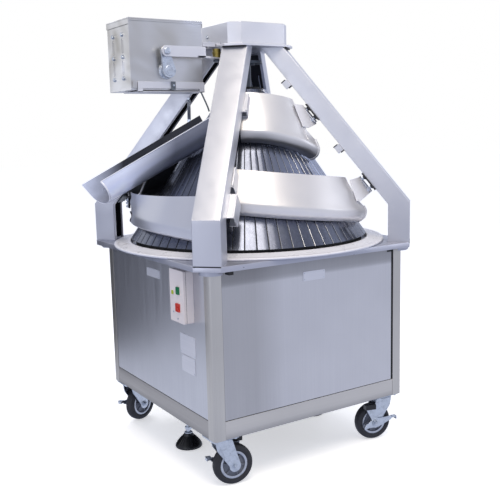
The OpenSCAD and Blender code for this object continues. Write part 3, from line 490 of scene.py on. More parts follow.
# ---------------------------------------------------------------- cabinet
def cabinet():
    g = Geo()
    # corner posts: an L of folded sheet with a soft outer corner
    for i, j in ((-1, -1), (1, -1), (-1, 1), (1, 1)):
        outer = [(S, S - 45), (S, S), (S - 45, S), (S - 45, S - 3), (S - 3, S - 3), (S - 3, S - 45)]
        p = round_poly(outer, [0.6, 10, 0.6, 0.6, 7, 0.6], 6)
        p = [(x * i, y * j) for x, y in p]
        if i * j < 0:
            p = p[::-1]
        g.prism(p, Z0, ZT, 0)
    for k in range(4):
        M = R(90 * k, "Z")
        w = S - 45.4
        # lower rail: folded channel with a rounded lower edge
        sec = round_poly([(S - 0.8, Z0), (S - 0.8, ZR), (S - 40, ZR), (S - 40, ZR - 3), (S - 4, ZR - 3), (S - 4, Z0 + 3), (S - 40, Z0 + 3), (S - 40, Z0)],
                         [3, 1.2, 0, 0, 0, 0, 0, 0], 4)
        v = [(x, -w, z) for x, z in sec] + [(x, w, z) for x, z in sec]
        n = len(sec)
        g.add(v, [list(range(n)), list(range(2 * n - 1, n - 1, -1))] + [[q, n + q, n + (q + 1) % n, (q + 1) % n] for q in range(n)], 1, M)
        # upper rail and corner plate
        g.box(S - 44, S - 14, -S + 4, S - 4, ZT - 4, ZT, 1, M)
        g.box(S - 18, S - 14, -S + 4, S - 4, ZT - 34, ZT - 4, 1, M)
        g.box(S - 145, S - 6, S - 145, S - 6, Z0 + 0.3, Z0 + 6, 1, M)
    for i in (-1, 1):
        x = 314 * i
        for a, b, c, d in ((-25, -9, 0, 5), (9, 25, 0, 5), (-25, -21, 5, 40), (21, 25, 5, 40)):
            g.box(x + a, x + b, -S + 42, S - 42, Z0 + c + 0.3, Z0 + d, 1)
        for y in (-1, 1):
            g.box(x - 9, x + 9, 9 if y > 0 else -S + 42, S - 42 if y > 0 else -9, Z0 + 0.3, Z0 + 5, 1)
        g.box(i * 95 - 20, i * 95 + 20, -S + 12, S - 12, 556, 559.8, 1)
        g.box(i * 95 - 20, i * 95 - 16, -S + 12, S - 12, 520, 556, 1)
        for y in (-S + 12, S - 42):
            g.box(i * 95 - 15.8, i * 95 + 20, y, y + 30, ZR, 555.8, 1)
    o = piece("cabinet_frame_v", g, [M_post, M_rail], bevel=0.9, seg=2, repl=("cabinet_frame",), weld=False)
    return o


def panels():
    # gap left, right: the seam is tight at the front corner and open at the far posts
    for name, rot, gl, gr in (("front", 0, 0.5, 10.0), ("right", 90, 1.2, 3.0), ("rear", 180, 3.0, 3.0), ("left", 270, 4.0, 0.5)):
        M = R(rot, "Z")
        g = Geo()
        x0, x1 = -S + 45 + gl, S - 45 - gr
        z0, z1 = ZR + 2.6, 811.0
        y = -S + 0.5
        face = round_poly([(x0, z0), (x1, z0), (x1, z1), (x0, z1)], 1.6, 3)
        g.prism([(x, z) for x, z in face], 0, 1.8, 0, M @ T(0, y + 1.8, 0) @ R(90, "X"))
        # returned edges behind the face
        g.box(x0 + 0.3, x1 - 0.3, y + 1.8, y + 11, z0 + 0.2, z0 + 2, 0, M)
        g.box(x0 + 0.3, x1 - 0.3, y + 1.8, y + 11, z1 - 2, z1 - 0.2, 0, M)
        g.box(x0 + 0.2, x0 + 2, y + 1.8, y + 11, z0 + 2, z1 - 2, 0, M)
        g.box(x1 - 2, x1 - 0.2, y + 1.8, y + 11, z0 + 2, z1 - 2, 0, M)
        # painted shade: black strips behind the seams and along the lower edge stand for the dark gaps
        if gl > 2:
            g.box(x0 - gl, x0 + 1, y + 4, y + 6, z0 - 2.4, z1, 1, M)
        if gr > 2:
            g.box(x1 - 1, x1 + gr, y + 4, y + 6, z0 - 2.4, z1, 1, M)
        g.box(x0 + 1, x1 - 1, y + 4, y + 6, z0 - 2.5, z0 + 0.1, 1, M)
        if name == "front":
            # painted shade: another black strip in the right seam. A small dark patch sits on the face at that seam's
            # top.
            g.box(x1 + 0.3, x1 + gr + 0.8, y + 3.0, y + 5.0, z0, z1, 1, M)
            g.box(362, x1 + gr - 0.5, y - 0.7, y + 1.2, 782.5, 794.5, 1, M)
        piece("panel_%s_v" % name, g, [M_panelf if name == "front" else M_panel, M_dark_and_shade], bevel=0.7, seg=2, repl=("panel_" + name,))
    # blank plates
    g = Geo()
    for M, a0, a1, z0, z1 in ((R(0, "Z"), -49, 52, 717, 752), (R(270, "Z"), -58, 54, 716, 749), (R(270, "Z"), 206, 322, 466, 542), (R(270, "Z"), 214, 316, 400, 462)):
        p = round_poly([(a0, z0), (a1, z0), (a1, z1), (a0, z1)], 4, 4)
        g.prism(p, 0, 1.4, 0, M @ T(0, -S + 0.4, 0) @ R(90, "X"))
        for x in (a0 + 6, a1 - 6):
            for z in (z0 + 6, z1 - 6):
                g.lathe([(0, 1.4), (2.2, 1.4), (1.9, 2.2), (1.0, 2.6), (0, 2.7)], 14, 1, M @ T(x, -S + 0.4, z) @ R(90, "X"))
    piece("blank_plates", g, [M_plate, M_zinc], bevel=0.3, seg=1)


def deck():
    h = 497.0
    c = 2 * h - 653 * math.sqrt(2)
    oct8 = [(h, h - c), (h - c, h), (c - h, h), (-h, h - c), (-h, c - h), (c - h, -h), (h - c, -h), (h, c - h)]
    g = Geo()
    outer = round_poly(oct8, 5, 4)
    inner = round_poly([(x * (h - 4) / h, y * (h - 4) / h) for x, y in oct8], 3, 4)
    n = len(outer)
    rings = [(outer, 802.0), (outer, DECK - 2.2), ([(x * (h - 0.8) / h, y * (h - 0.8) / h) for x, y in outer], DECK - 0.7), ([(x * (h - 2.6) / h, y * (h - 2.6) / h) for x, y in outer], DECK)]
    v, f = [], []
    for p, z in rings:
        v += [(x, y, z) for x, y in p]
    for k in range(len(rings) - 1):
        f += [[k * n + i, k * n + (i + 1) % n, (k + 1) * n + (i + 1) % n, (k + 1) * n + i] for i in range(n)]
    # top with the shaft's hole
    m = 48
    k0 = len(v)
    v += [(33 * math.cos(2 * math.pi * i / m), 33 * math.sin(2 * math.pi * i / m), DECK) for i in range(m)]
    v += [(33 * math.cos(2 * math.pi * i / m), 33 * math.sin(2 * math.pi * i / m), DECK - 4) for i in range(m)]
    f += [[k0 + i, k0 + (i + 1) % m, k0 + m + (i + 1) % m, k0 + m + i] for i in range(m)]
    # underside and lip inside
    k1 = len(v)
    v += [(x, y, 802.0) for x, y in inner] + [(x, y, DECK - 4) for x, y in inner]
    f += [[i, k1 + i, k1 + (i + 1) % n, (i + 1) % n] for i in range(n)]
    f += [[k1 + i, k1 + n + i, k1 + n + (i + 1) % n, k1 + (i + 1) % n] for i in range(n)]
    # the two large faces, from the rim to the hole
    top_ring = [3 * n + i for i in range(n)]
    bot_ring = [k1 + n + i for i in range(n)]
    for ring, hole in ((top_ring, [k0 + i for i in range(m)]), (bot_ring, [k0 + m + i for i in range(m)])):
        ang = lambda i: math.atan2(v[i][1], v[i][0]) % (2 * math.pi)
        near = lambda i: hole[int(round(ang(i) / (2 * math.pi) * m)) % m]
        for i in range(len(ring)):
            a, b = ring[i], ring[(i + 1) % len(ring)]
            p, q = near(a), near(b)
            if p == q:
                f.append([a, b, p])
            else:
                s, path = hole.index(p), [p]
                while hole[s] != q:
                    s = (s + 1) % m
                    path.append(hole[s])
                f.append([a, b] + path[::-1])
    g.add(v, f, 0)
    # rounded gussets under the corners, outside the posts
    for a in (45, 135, 225, 315):
        M = R(a, "Z")
        pts = []
        for i in range(25):
            t = math.radians(-90 + 180 * i / 24)
            pts.append((608 + 40 * math.cos(t), 42 * math.sin(t)))
        # clip to the outside of the cabinet's corner
        pts = [(max(x, 622.6 - abs(y)), y) for x, y in pts]
        pts.append((622.6, 0))
        g.prism(pts, 790, 802.2, 0, M)
        g.prism([(x - 3 if x > 630 else x, y * 0.98) for x, y in pts], 786.5, 790, 0, M)
    # painted shadow: dark lines along the corners' top edge, under the leg feet
    for a in (45, 135, 225, 315):
        g.box(640, 653.6, -49, 49, 818.2, 821.4, 1, R(a, "Z"))
    # painted shadow: a dark wedge beside the front gusset, under the deck
    g.prism([(-398, -496.5), (-380, -496.5), (-398, -470)], 790, 801.8, 1)
    piece("deck_v", g, [M_deck, M_dark_and_shade], bevel=0, repl=("deck_plate",), angle=40)


def ring():
    g = Geo()
    z = DECK
    prof = [(484, z + 0.3), (541, z + 0.3), (546.5, z + 1.2), (549.2, z + 3.2), (549.8, z + 6.0), (548.6, z + 8.4), (545.6, z + 9.8), (541, z + 10.3),
            (533, z + 10.4), (529.5, z + 9.9), (526, z + 10.6), (510, z + 14.2), (496, z + 17.8), (491, z + 18.7), (486.5, z + 18.5), (484, z + 17.0)]
    g.lathe(prof, 160, 0)
    piece("rim_ring_v", g, [M_ring], repl=("rim_ring",), angle=50)


# ---------------------------------------------------------------- legs
def legs():
    W, D, t = 50.0, 83.0, 4.0
    for name, az in LEG_AZ.items():
        # channel section: n inward from the web's outer face, s across; q, w are the widths of its return lips
        q, w = (22, 13) if name == "left" else (12, 12)
        out = round_poly([(D, W - q), (D, W), (0, W), (0, -W), (D, -W), (D, -W + w)], [0, 1.5, 3.5, 3.5, 1.5, 0], 4)
        inn = round_poly([(D - t, -W + w), (D - t, -W + t), (t, -W + t), (t, W - t), (D - t, W - t), (D - t, W - q)], [0, 0, 2, 2, 0, 0], 3)
        sec = out + inn
        n = len(sec)
        no = len(out)
        M = R(az, "Z")
        g = Geo()
        v = []
        for k in range(3):
            for a, s in sec:
                u = a / D
                if k == 0:
                    v.append((653 - a, s, DECK + 0.2))
                elif k == 1:
                    v.append((653 - a, s, 977 - 7 * u))
                else:
                    v.append((165.8 - 86.8 * u, s, 1585))
        f, mi = [], []
        for k in range(2):
            for i in range(n):
                j = (i + 1) % n
                f.append([k * n + i, k * n + j, (k + 1) * n + j, (k + 1) * n + i])
                mi.append(1 if no <= i < n - 1 else 2 if i == 0 else 3 if i == no - 2 else 0)
        f += [list(range(n))[::-1], list(range(2 * n, 3 * n))]
        mi += [0, 0]
        g.add(v, f, mi, M)
        # weld bead across the mitre
        for q in range(27):
            s = -46 + q * 92 / 26
            g.lathe([(0, -0.5), (2.4, -0.4), (2.0, 0.5), (0.9, 0.95), (0, 1.05)], 8, 0, M @ along((652.7, s, 976.6), (0.94, 0, 0.34)))
        # foot and head plates
        g.box(575, 648, -45.5, 45.5, DECK + 0.2, DECK + 6, 0, M)
        g.box(88, 158, -45.5, 45.5, 1578, 1584.6, 0, M)
        # the skins are lit and shaded copies of the paint, with painted shade toward the foot; the left leg's near lip
        # is in the painted highlight, its far lip in a shaded copy
        skin = {"left": M_legleft, "right": M_legright, "front": M_legfront}.get(name, M_paint)
        lips = [M_highlight, M_lipfar] if name == "left" else [M_black, skin] if name == "rear" else [skin, skin]
        if name == "rear":
            # stiffening seams welded along the inside of the web, light as painted highlight
            for s in (-10, 27):
                g.tube([tuple(M @ Vector(c)) for c in ((647, s, DECK + 30), (647, s, 976.5), (227.6, s, 1500))], 2.2, 8, 4)
        piece("leg_%s_v" % name, g, [skin, M_black] + lips + [M_highlight], bevel=0.5, seg=2, repl=("leg_" + name,))


def top():
    g = Geo()
    csq = lambda h, c: [(h, h - c), (h - c, h), (c - h, h), (-h, h - c), (-h, c - h), (c - h, -h), (h - c, -h), (h, c - h)]
    g.prism(round_poly(csq(158, 48), 4, 3), 1585, 1593, 0)
    # painted shadow: dark strips under the plate's edge over each leg
    for a in LEG_AZ.values():
        g.box(150, 178, -46, 46, 1581, 1585, 1, R(a, "Z"))
    piece("top_plate_v", g, [M_paint, M_dark_and_shade], bevel=1.0, repl=("top_plate",))
    g = Geo()
    g.prism(round_poly(csq(137, 38), 5, 4), 1594.5, 1675, 0)
    # folded rim along the lower edge
    g.prism(round_poly(csq(138.6, 38.6), 5, 4), 1593.2, 1598, 0)
    piece("top_cap_v", g, [M_paint], bevel=2.2, seg=3, repl=("top_cap",))


# ---------------------------------------------------------------- tracks
def spline(pts, per=6):
    """Catmull-Rom through points of any dimension."""
    P = [np.array(p, float) for p in pts]
    P = [2 * P[0] - P[1]] + P + [2 * P[-1] - P[-2]]
    out = []
    for i in range(1, len(P) - 2):
        for j in range(per):
            t = j / per
            a, b, c, d = P[i - 1], P[i], P[i + 1], P[i + 2]
            out.append(0.5 * (2 * b + (c - a) * t + (2 * a - 5 * b + 4 * c - d) * t * t + (3 * b - a - 3 * c + d) * t ** 3))
    out.append(P[-2])
    return out


def thick_sheet(g, grid, th, mo, mi, me, inward):
    """A grid of points as a sheet of thickness th; inward gives the direction of its inner face at a point."""
    nu, nv = len(grid), len(grid[0])
    A = np.array([[list(p) for p in row] for row in grid])
    du = np.gradient(A, axis=0)
    dv = np.gradient(A, axis=1)
    N = np.cross(du, dv)
    N /= np.linalg.norm(N, axis=2, keepdims=True) + 1e-12
    ref = np.array([[inward(p) for p in row] for row in A])
    sg = np.sign((N * ref).sum(2))[..., None]
    sg[sg == 0] = 1
    Bn = A + N * sg * th
    v = [tuple(p) for row in A for p in row] + [tuple(p) for row in Bn for p in row]
    o = nu * nv
    f, mm = [], []
    for i in range(nu - 1):
        for j in range(nv - 1):
            q = [i * nv + j, i * nv + j + 1, (i + 1) * nv + j + 1, (i + 1) * nv + j]
            f.append(q)
            mm.append(mo)
            f.append([o + k for k in q[::-1]])
            mm.append(mi)
    rim = [i * nv for i in range(nu)] + [(nu - 1) * nv + j for j in range(1, nv)] + [i * nv + nv - 1 for i in range(nu - 2, -1, -1)] + [j for j in range(nv - 2, 0, -1)]
    for k in range(len(rim)):
        a, b = rim[k], rim[(k + 1) % len(rim)]
        f.append([a, b, o + b, o + a])
        mm.append(me)
    g.add(v, f, mm, None, True)


def track(name, a0, a1, z0, z1, h0, h1, crease=None, low=(92, 62), bead=3.4, p=1.0, tight=0.0, dent=None, skin=None, lean0=0.45, lip=0.0):
    """Rolled track sheet. Past the crease only its bulge runs on, under the end tab."""
    g = Geo()
    nu = 84
    az = [a0 + (a1 - a0) * i / nu for i in range(nu + 1)]
    if crease:
        az = sorted(az + [crease, crease + 0.15])
    grid = []
    for a in az:
        u = ((a - a0) / (a1 - a0)) ** p
        zb, h = z0 + (z1 - z0) * u, h0 + (h1 - h0) * u
        hh = h
        if crease and a > crease + 0.1:
            h = low[0] + (low[1] - low[0]) * (a - crease) / (a1 - crease)
        r, b = Rc(zb) + 6, Rc(zb) + 42
        lean = 0.45 + (lean0 - 0.45) * (1 - (a - a0) / (a1 - a0)) ** 3
        wall = lambda q: b - lean * (q - 47)
        k = 1 - tight
        ctl = [(r, 0.5), (r + 9 + 6 * tight, 1.6), (r + 20 + 6 * tight, 6.5 * k + 1), (r + 29 + 3 * tight, 15 * k + 1), (r + 34, 27 * k + 2), (b - 0.3, 44 - 8 * tight), (wall(58), 58), (wall((58 + h) / 2), (58 + h) / 2), (wall(h), h)]
        row = []
        for rho, q in spline(ctl, 5):
            # the wall is drawn in a little before the crease
            if crease and a <= crease + 0.1:
                t = max(0.0, min(1.0, (a - crease + 8) / 8))
                rho -= 4.0 * t * t * (3 - 2 * t) * max(0.0, min(1.0, (q - 50) / 40))
            if dent:
                rho += dent(a, q, hh)
            row.append((rho * math.cos(math.radians(a)), rho * math.sin(math.radians(a)), zb + q))
        grid.append(row)
    # outer face in the skin; inner face near black as painted shade; cut rim bright as painted highlight
    thick_sheet(g, grid, 3.6, 0, 1, 2, lambda p: np.array([-p[0], -p[1], 0.35 * math.hypot(p[0], p[1])]))
    if bead:
        for row in ([grid[-1], grid[0]] if not crease else [grid[-1]]):
            g.tube([tuple(q) for q in row], bead, 10, 0)
    if lip:
        # painted highlight: a bright lip along the free end
        g.tube([tuple(row[0]) for row in grid], lip, 8, 2)
        # the end's lower part is curled in and shows its inner face, dark as painted shade
        low_end = [q for q in grid[0] if q[2] < grid[0][0][2] + 50]
        g.tube([(q[0] * 1.006, q[1] * 1.006, q[2]) for q in low_end], 4.0, 10, 1)
    piece(name + "_v", g, [skin or M_sheet, M_trackin_shade, M_highlight], repl=(name,), angle=38)


# ---------------------------------------------------------------- chute
def chute():
    al = math.radians(27.6)
    ca, sa = math.cos(al), math.sin(al)
    s2 = math.sqrt(0.5)

    def P(b, w, a):
        t = 522 + a * ca + w * sa
        return (-s2 * b - s2 * t, -s2 * b + s2 * t, 1086 - a * sa + w * ca)

    prof = [(142, 45), (142, 30), (142, 12), (142, -8)]
    prof += [(205 + 63 * math.cos(math.radians(x)), -15 + 63 * math.sin(math.radians(x))) for x in range(180, 361, 6)]
    prof += [(268, -8), (268, 0)]
    na = 48
    rows = []
    for b, w in prof:
        end = -math.tan(math.radians(43.5)) * (b - 261) + 0.25 * (w + 44)
        start = -440.0 if b < 205 else (-560.0 if b > 226 else -440 - 120 * (b - 205) / 21)
        a = start
        while a < -150:
            x, y, z = P(b, w, a)
            if z > 1424 or math.hypot(x, y) > Rc(z) + 9:
                break
            a += 2
        rows.append([P(b, w, a + (end - a) * i / na) for i in range(na + 1)])
    return rows, P, prof


def build_chute():
    rows, P, prof = chute()
    # the sheet's inner face is dark up the trough
    G = Geo()
    A = np.array(rows)
    nu, nv = A.shape[:2]
    f, mm = [], []
    inner = np.zeros_like(A)
    for i in range(nu):
        b, w = prof[i]
        if w > -15:
            ib, iw = (145 if b < 205 else 265), w
        else:
            ib, iw = 205 + (b - 205) * 60 / 63, -15 + (w + 15) * 60 / 63
        d = np.array(P(ib, iw, 0)) - np.array(P(b, w, 0))
        inner[i] = A[i] + d
    o = nu * nv
    v = [tuple(p) for r_ in A for p in r_] + [tuple(p) for r_ in inner for p in r_]
    for i in range(nu - 1):
        for j in range(nv - 1):
            q = [i * nv + j, i * nv + j + 1, (i + 1) * nv + j + 1, (i + 1) * nv + j]
            f.append(q)
            mm.append(0)
            f.append([o + k for k in q[::-1]])
            mm.append(1)
    rim = [i * nv for i in range(nu)] + [(nu - 1) * nv + j for j in range(1, nv)] + [i * nv + nv - 1 for i in range(nu - 2, -1, -1)] + [j for j in range(nv - 2, 0, -1)]
    for k in range(len(rim)):
        a, b = rim[k], rim[(k + 1) % len(rim)]
        f.append([a, b, o + b, o + a])
        mm.append(0)
    G.add(v, f, mm, None, True)
    # rolled edges, bright as painted highlight: broad at the outlet's near side, thin along the near wall's top
    G.tube([tuple(A[i][-1]) for i in range(nu) if prof[i][0] > 212], 3.4, 10, 2)
    G.tube([tuple(A[i][-1]) for i in range(nu) if prof[i][0] < 216], 1.8, 8, 2)
    G.tube([tuple(q) for q in A[-1]], 2.0, 8, 2)
    piece("discharge_chute_v", G, [M_sheet_chute, M_chutein, M_highlight], repl=("discharge_chute",), angle=38)


# ---------------------------------------------------------------- track mounts
def mounts():
    g = Geo()
    LI = lambda z: 570 - 0.7983 * (z - 970)
    sl = math.degrees(math.atan(0.7983))
    base = lambda az, zc: R(az, "Z") @ T(LI(zc), 0, zc) @ R(-sl, "Y")
    # bars with adjusting studs on the left and rear legs
    for az, side, zc, reach, s0, s1, bl in ((135, -1, 1100, 58, 44, 94, 100), (45, 1, 1200, 46, 44, 110, 100), (45, -1, 1200, 46, 44, 110, 100)):
        M = base(az, zc)
        y0, y1 = (s0, s1) if side > 0 else (-s1, -s0)
        g.box(-8, -0.3, y0, y1, -bl / 2, bl / 2, 0, M)
        ys = side * (s1 - 14)
        for k in (-0.3, 0.3):
            Q = M @ T(0, ys, k * bl) @ R(-90, "Y")
            g.cyl(5, -13, reach, 20, 1, Q)
            g.hexa(9, -7.5, -0.2, 1, Q, 15)
            g.hexa(9, 8, 15.5, 1, Q, 40)
            g.cyl(10.5, 15.5, 17, 24, 1, Q)
            g.hexa(9, reach - 8, reach - 0.5, 1, Q, 22)
        g.box(-reach - 4, -reach, (s1 - 30) if side > 0 else -s1, s1 if side > 0 else -(s1 - 30), -bl / 2 + 6, bl / 2 - 6, 2, M)
    # folded plates on the front leg
    for side, zc, reach, s0, s1, bl, out in ((1, 1107, 62, 40, 57, 84, 6), (1, 1370, 32, 40, 65, 88, 5), (1, 1014, 64, 42, 76, 98, 2), (-1, 1020, 66, 20, 49.5, 100, -0.5)):
        M = base(225, zc)
        y0, y1 = (s0, s1) if side > 0 else (-s1, -s0)
        g.box(-5, -0.3, y0, y1, -bl / 2, bl / 2, 2, M)
        y0, y1 = (s1 - 4, s1) if side > 0 else (-s1, -s1 + 4)
        g.box(-reach - 1, out, y0, y1, -bl / 2 + 3, bl / 2 - 3, 2, M)
        y0, y1 = (s1 - 30, s1) if side > 0 else (-s1, -s1 + 30)
        g.box(-reach - 4, -reach, y0, y1, -bl / 2 + 6, bl / 2 - 6, 2, M)
    # cross plates on the right leg, with studs to the tracks' end tabs
    ph = math.atan(0.45)
    for zc, bl, gap, y0, y1, ys, p0, an, pts in (
            (1061, 84, 20, -36, 14, -6, (240.9, -371, 1040), 279, [(-1, 30), (61, 38.4), (102, -26.3), (21, -59.2), (-1, -58)]),
            (1334, 80, 16, -54, 8, -18, (92.16, -240.23, 1320), 291, [(-10, 46.1), (49, 42.8), (98, -37.3), (27, -53.7), (-10, -48.2)])):
        M = base(315, zc)
        g.box(-5, -0.3, -60, 48, -bl / 2, bl / 2, 3, M)
        g.box(-gap - 4, -gap, y0, y1, -bl / 2 + 4, bl / 2 - 4, 2, M)
        for k in (-0.27, 0.27):
            for yy in (ys, y0 + 9):
                Q = M @ T(0, yy, k * bl) @ R(-90, "Y")
                g.cyl(4.6, -12 if yy == ys else 3, gap + 12, 20, 1, Q)
                g.hexa(8.6, 4.6, 11, 3, Q, 15)
                g.hexa(8.6, gap + 3.8, gap + 10.5, 1, Q, 40)
            g.hexa(8.6, -7.5, -0.2, 1, M @ T(0, ys, k * bl) @ R(-90, "Y"), 15)
        # the end tab in the lighter tab copy, as painted light
        Q = T(*p0) @ R(an + 90, "Z") @ Matrix.Rotation(math.pi / 2 - ph, 4, "X")
        g.prism(round_poly(pts, [0, 5, 6, 6, 0], 4), 0.2, 4, 4, Q)
    # spare lugs on the right leg
    for z in (1196, 1449):
        M = base(315, z)
        g.box(-24, -0.3, -58, -44, -15, 15, 2, M)
        g.box(-25.5, -6, -59.5, -43, 14.9, 18.5, 3, M)
        g.box(-14, -0.3, -59.5, -43, -19, -14.9, 3, M)
    # hanger and shelf of the chute
    M = R(135, "Z")
    box8 = [[3, 2, 1, 0], [4, 5, 6, 7], [0, 1, 5, 4], [1, 2, 6, 5], [2, 3, 7, 6], [3, 0, 4, 7]]
    g.add([(215, 50.2, 1390), (229, 50.2, 1390), (229, 50.2, 1396), (215, 50.2, 1396), (190, 141.8, 1312), (204, 141.8, 1312), (204, 138, 1317), (190, 138, 1317)], box8, 1, M)
    g.box(190, 204, 138, 141.8, 1272, 1316, 1, M)
    g.hexa(6, 0, 5, 1, M @ T(197, 138, 1288) @ R(90, "X"))
    g.hexa(6, 0, 5, 1, M @ T(222, 54, 1400) @ R(-90, "X"))
    g.box(490, 526, 50.2, 141.8, 1104, 1109, 2, M)
    g.hexa(7, 0, 5, 1, M @ T(508, 70, 1109))
    g.hexa(7, 0, 5, 1, M @ T(508, 118, 1109))
    # cross plate on the left leg and the tapered plate to the lower left track's free end
    g.box(-5, -0.3, -50, 25, -24, 24, 0, base(135, 1000))
    g.prism([(485, 990), (483, 1056), (413, 1078), (430, 1042), (455, 1008)], 0.2, 3.8, 3, R(150.2, "Z") @ T(0, 2, 0) @ R(90, "X"))
    g.add([(533, -24, 990), (538, -20, 990), (538, -20, 1016), (533, -24, 1016), (459.5, 136, 966), (464.5, 144, 966), (464.5, 144, 1008), (459.5, 136, 1008)], [f_[::-1] for f_ in box8], 3, M)
    for z in (974, 987, 1000):
        g.hexa(7.5, 0, 6.5, 1, M @ along((466, 134, z), (0.91, 0.42, 0)), 20 * (z - 974))
        g.cyl(4, 6, 12, 16, 1, M @ along((466, 134, z), (0.91, 0.42, 0)))
    piece("track_mounts_v", g, [M_dsteel, M_zinc, M_paint, M_blackmetal, M_tab_lit], bevel=0.8, seg=2, repl=("track_mounts",))


# ---------------------------------------------------------------- cone
def cone():
    g = Geo()
    n = 68
    z0, z1 = 850.0, 1428.0
    nz = 14
    rows = []
    # one slat: flat face between two small grooves, the right edge standing a little proud
    sec = [(-0.5, -3.0), (-0.47, -2.6), (-0.46, -0.1), (-0.425, 0.95), (0.0, 1.15), (0.43, 0.95), (0.462, 0.5), (0.472, -2.6)]
    m = len(sec)
    ring_pts = []
    for k in range(nz + 1):
        z = z0 + (z1 - z0) * k / nz
        r = Rc(z)
        row = []
        for i in range(n):
            for u, dr in sec:
                a = 2 * math.pi * (i + u) / n
                sc = min(1, r / 200)
                # facet: radius grows toward the slat's edges so that its face is flat
                flat = math.cos(math.pi / n) / math.cos(2 * math.pi * u / n) if abs(u) < 0.44 else 1.0
                rr = r * (flat * 0.6 + 0.4) + dr * sc - 0.4
                row.append((rr * math.cos(a), rr * math.sin(a), z))
        ring_pts.append(row)
    v = [p for row in ring_pts for p in row]
    N = n * m
    f, mm = [], []
    for k in range(nz):
        for i in range(N):
            j = (i + 1) % N
            f.append([k * N + i, k * N + j, (k + 1) * N + j, (k + 1) * N + i])
            # groove walls near black as painted shade; each slat's left chamfer in the lighter metal as a painted
            # highlight
            mm.append(1 if i % m in (0, 1, m - 1, m - 2) else (3 if i % m == 2 else 0))
    g.add(v, f, mm, None, True)
    # closing faces: lower rim, skirt and crown
    k0 = len(g.v)
    low = [(0.982 * x, 0.982 * y, z0) for x, y, z in ring_pts[0]]
    back = [[(i + 1) % N, i, N + i, N + (i + 1) % N] for i in range(N)]
    g.add([*ring_pts[0], *low], back, 1)
    # inside of the shell
    k1 = (Rc(z1) - 9) / Rc(z1)
    inner = [(k1 * x, k1 * y, z1 - 6) for x, y, z in ring_pts[-1]]
    g.add([*low, *inner], back, 1)
    g.add(inner, [list(range(N))[::-1]], 1)
    g.lathe([(452, DECK + 4), (462, DECK + 4), (462, 858), (452, 858)], 128, 1)
    g.add(ring_pts[-1], [list(range(N))], 0)
    g.lathe([(26, 1428.2), (60, 1428.2), (60, 1434), (56, 1438), (26, 1438)], 48, 2)
    piece("cone_v", g, [M_cone, M_groove_shade, M_dark_and_shade, M_edge], "cone", repl=("cone_drum",), angle=24)


# ---------------------------------------------------------------- flour duster
HX0, HX1, HY0, HY1, HZ0, HZ1 = -519.0, -221.0, -50.0, 146.0, 1421.0, 1671.0
CX, CZ = -376.0, 1491.0
PX, PZ = CX - 70.4 * math.sin(math.radians(11.5)), CZ + 70.4 * math.cos(math.radians(11.5))


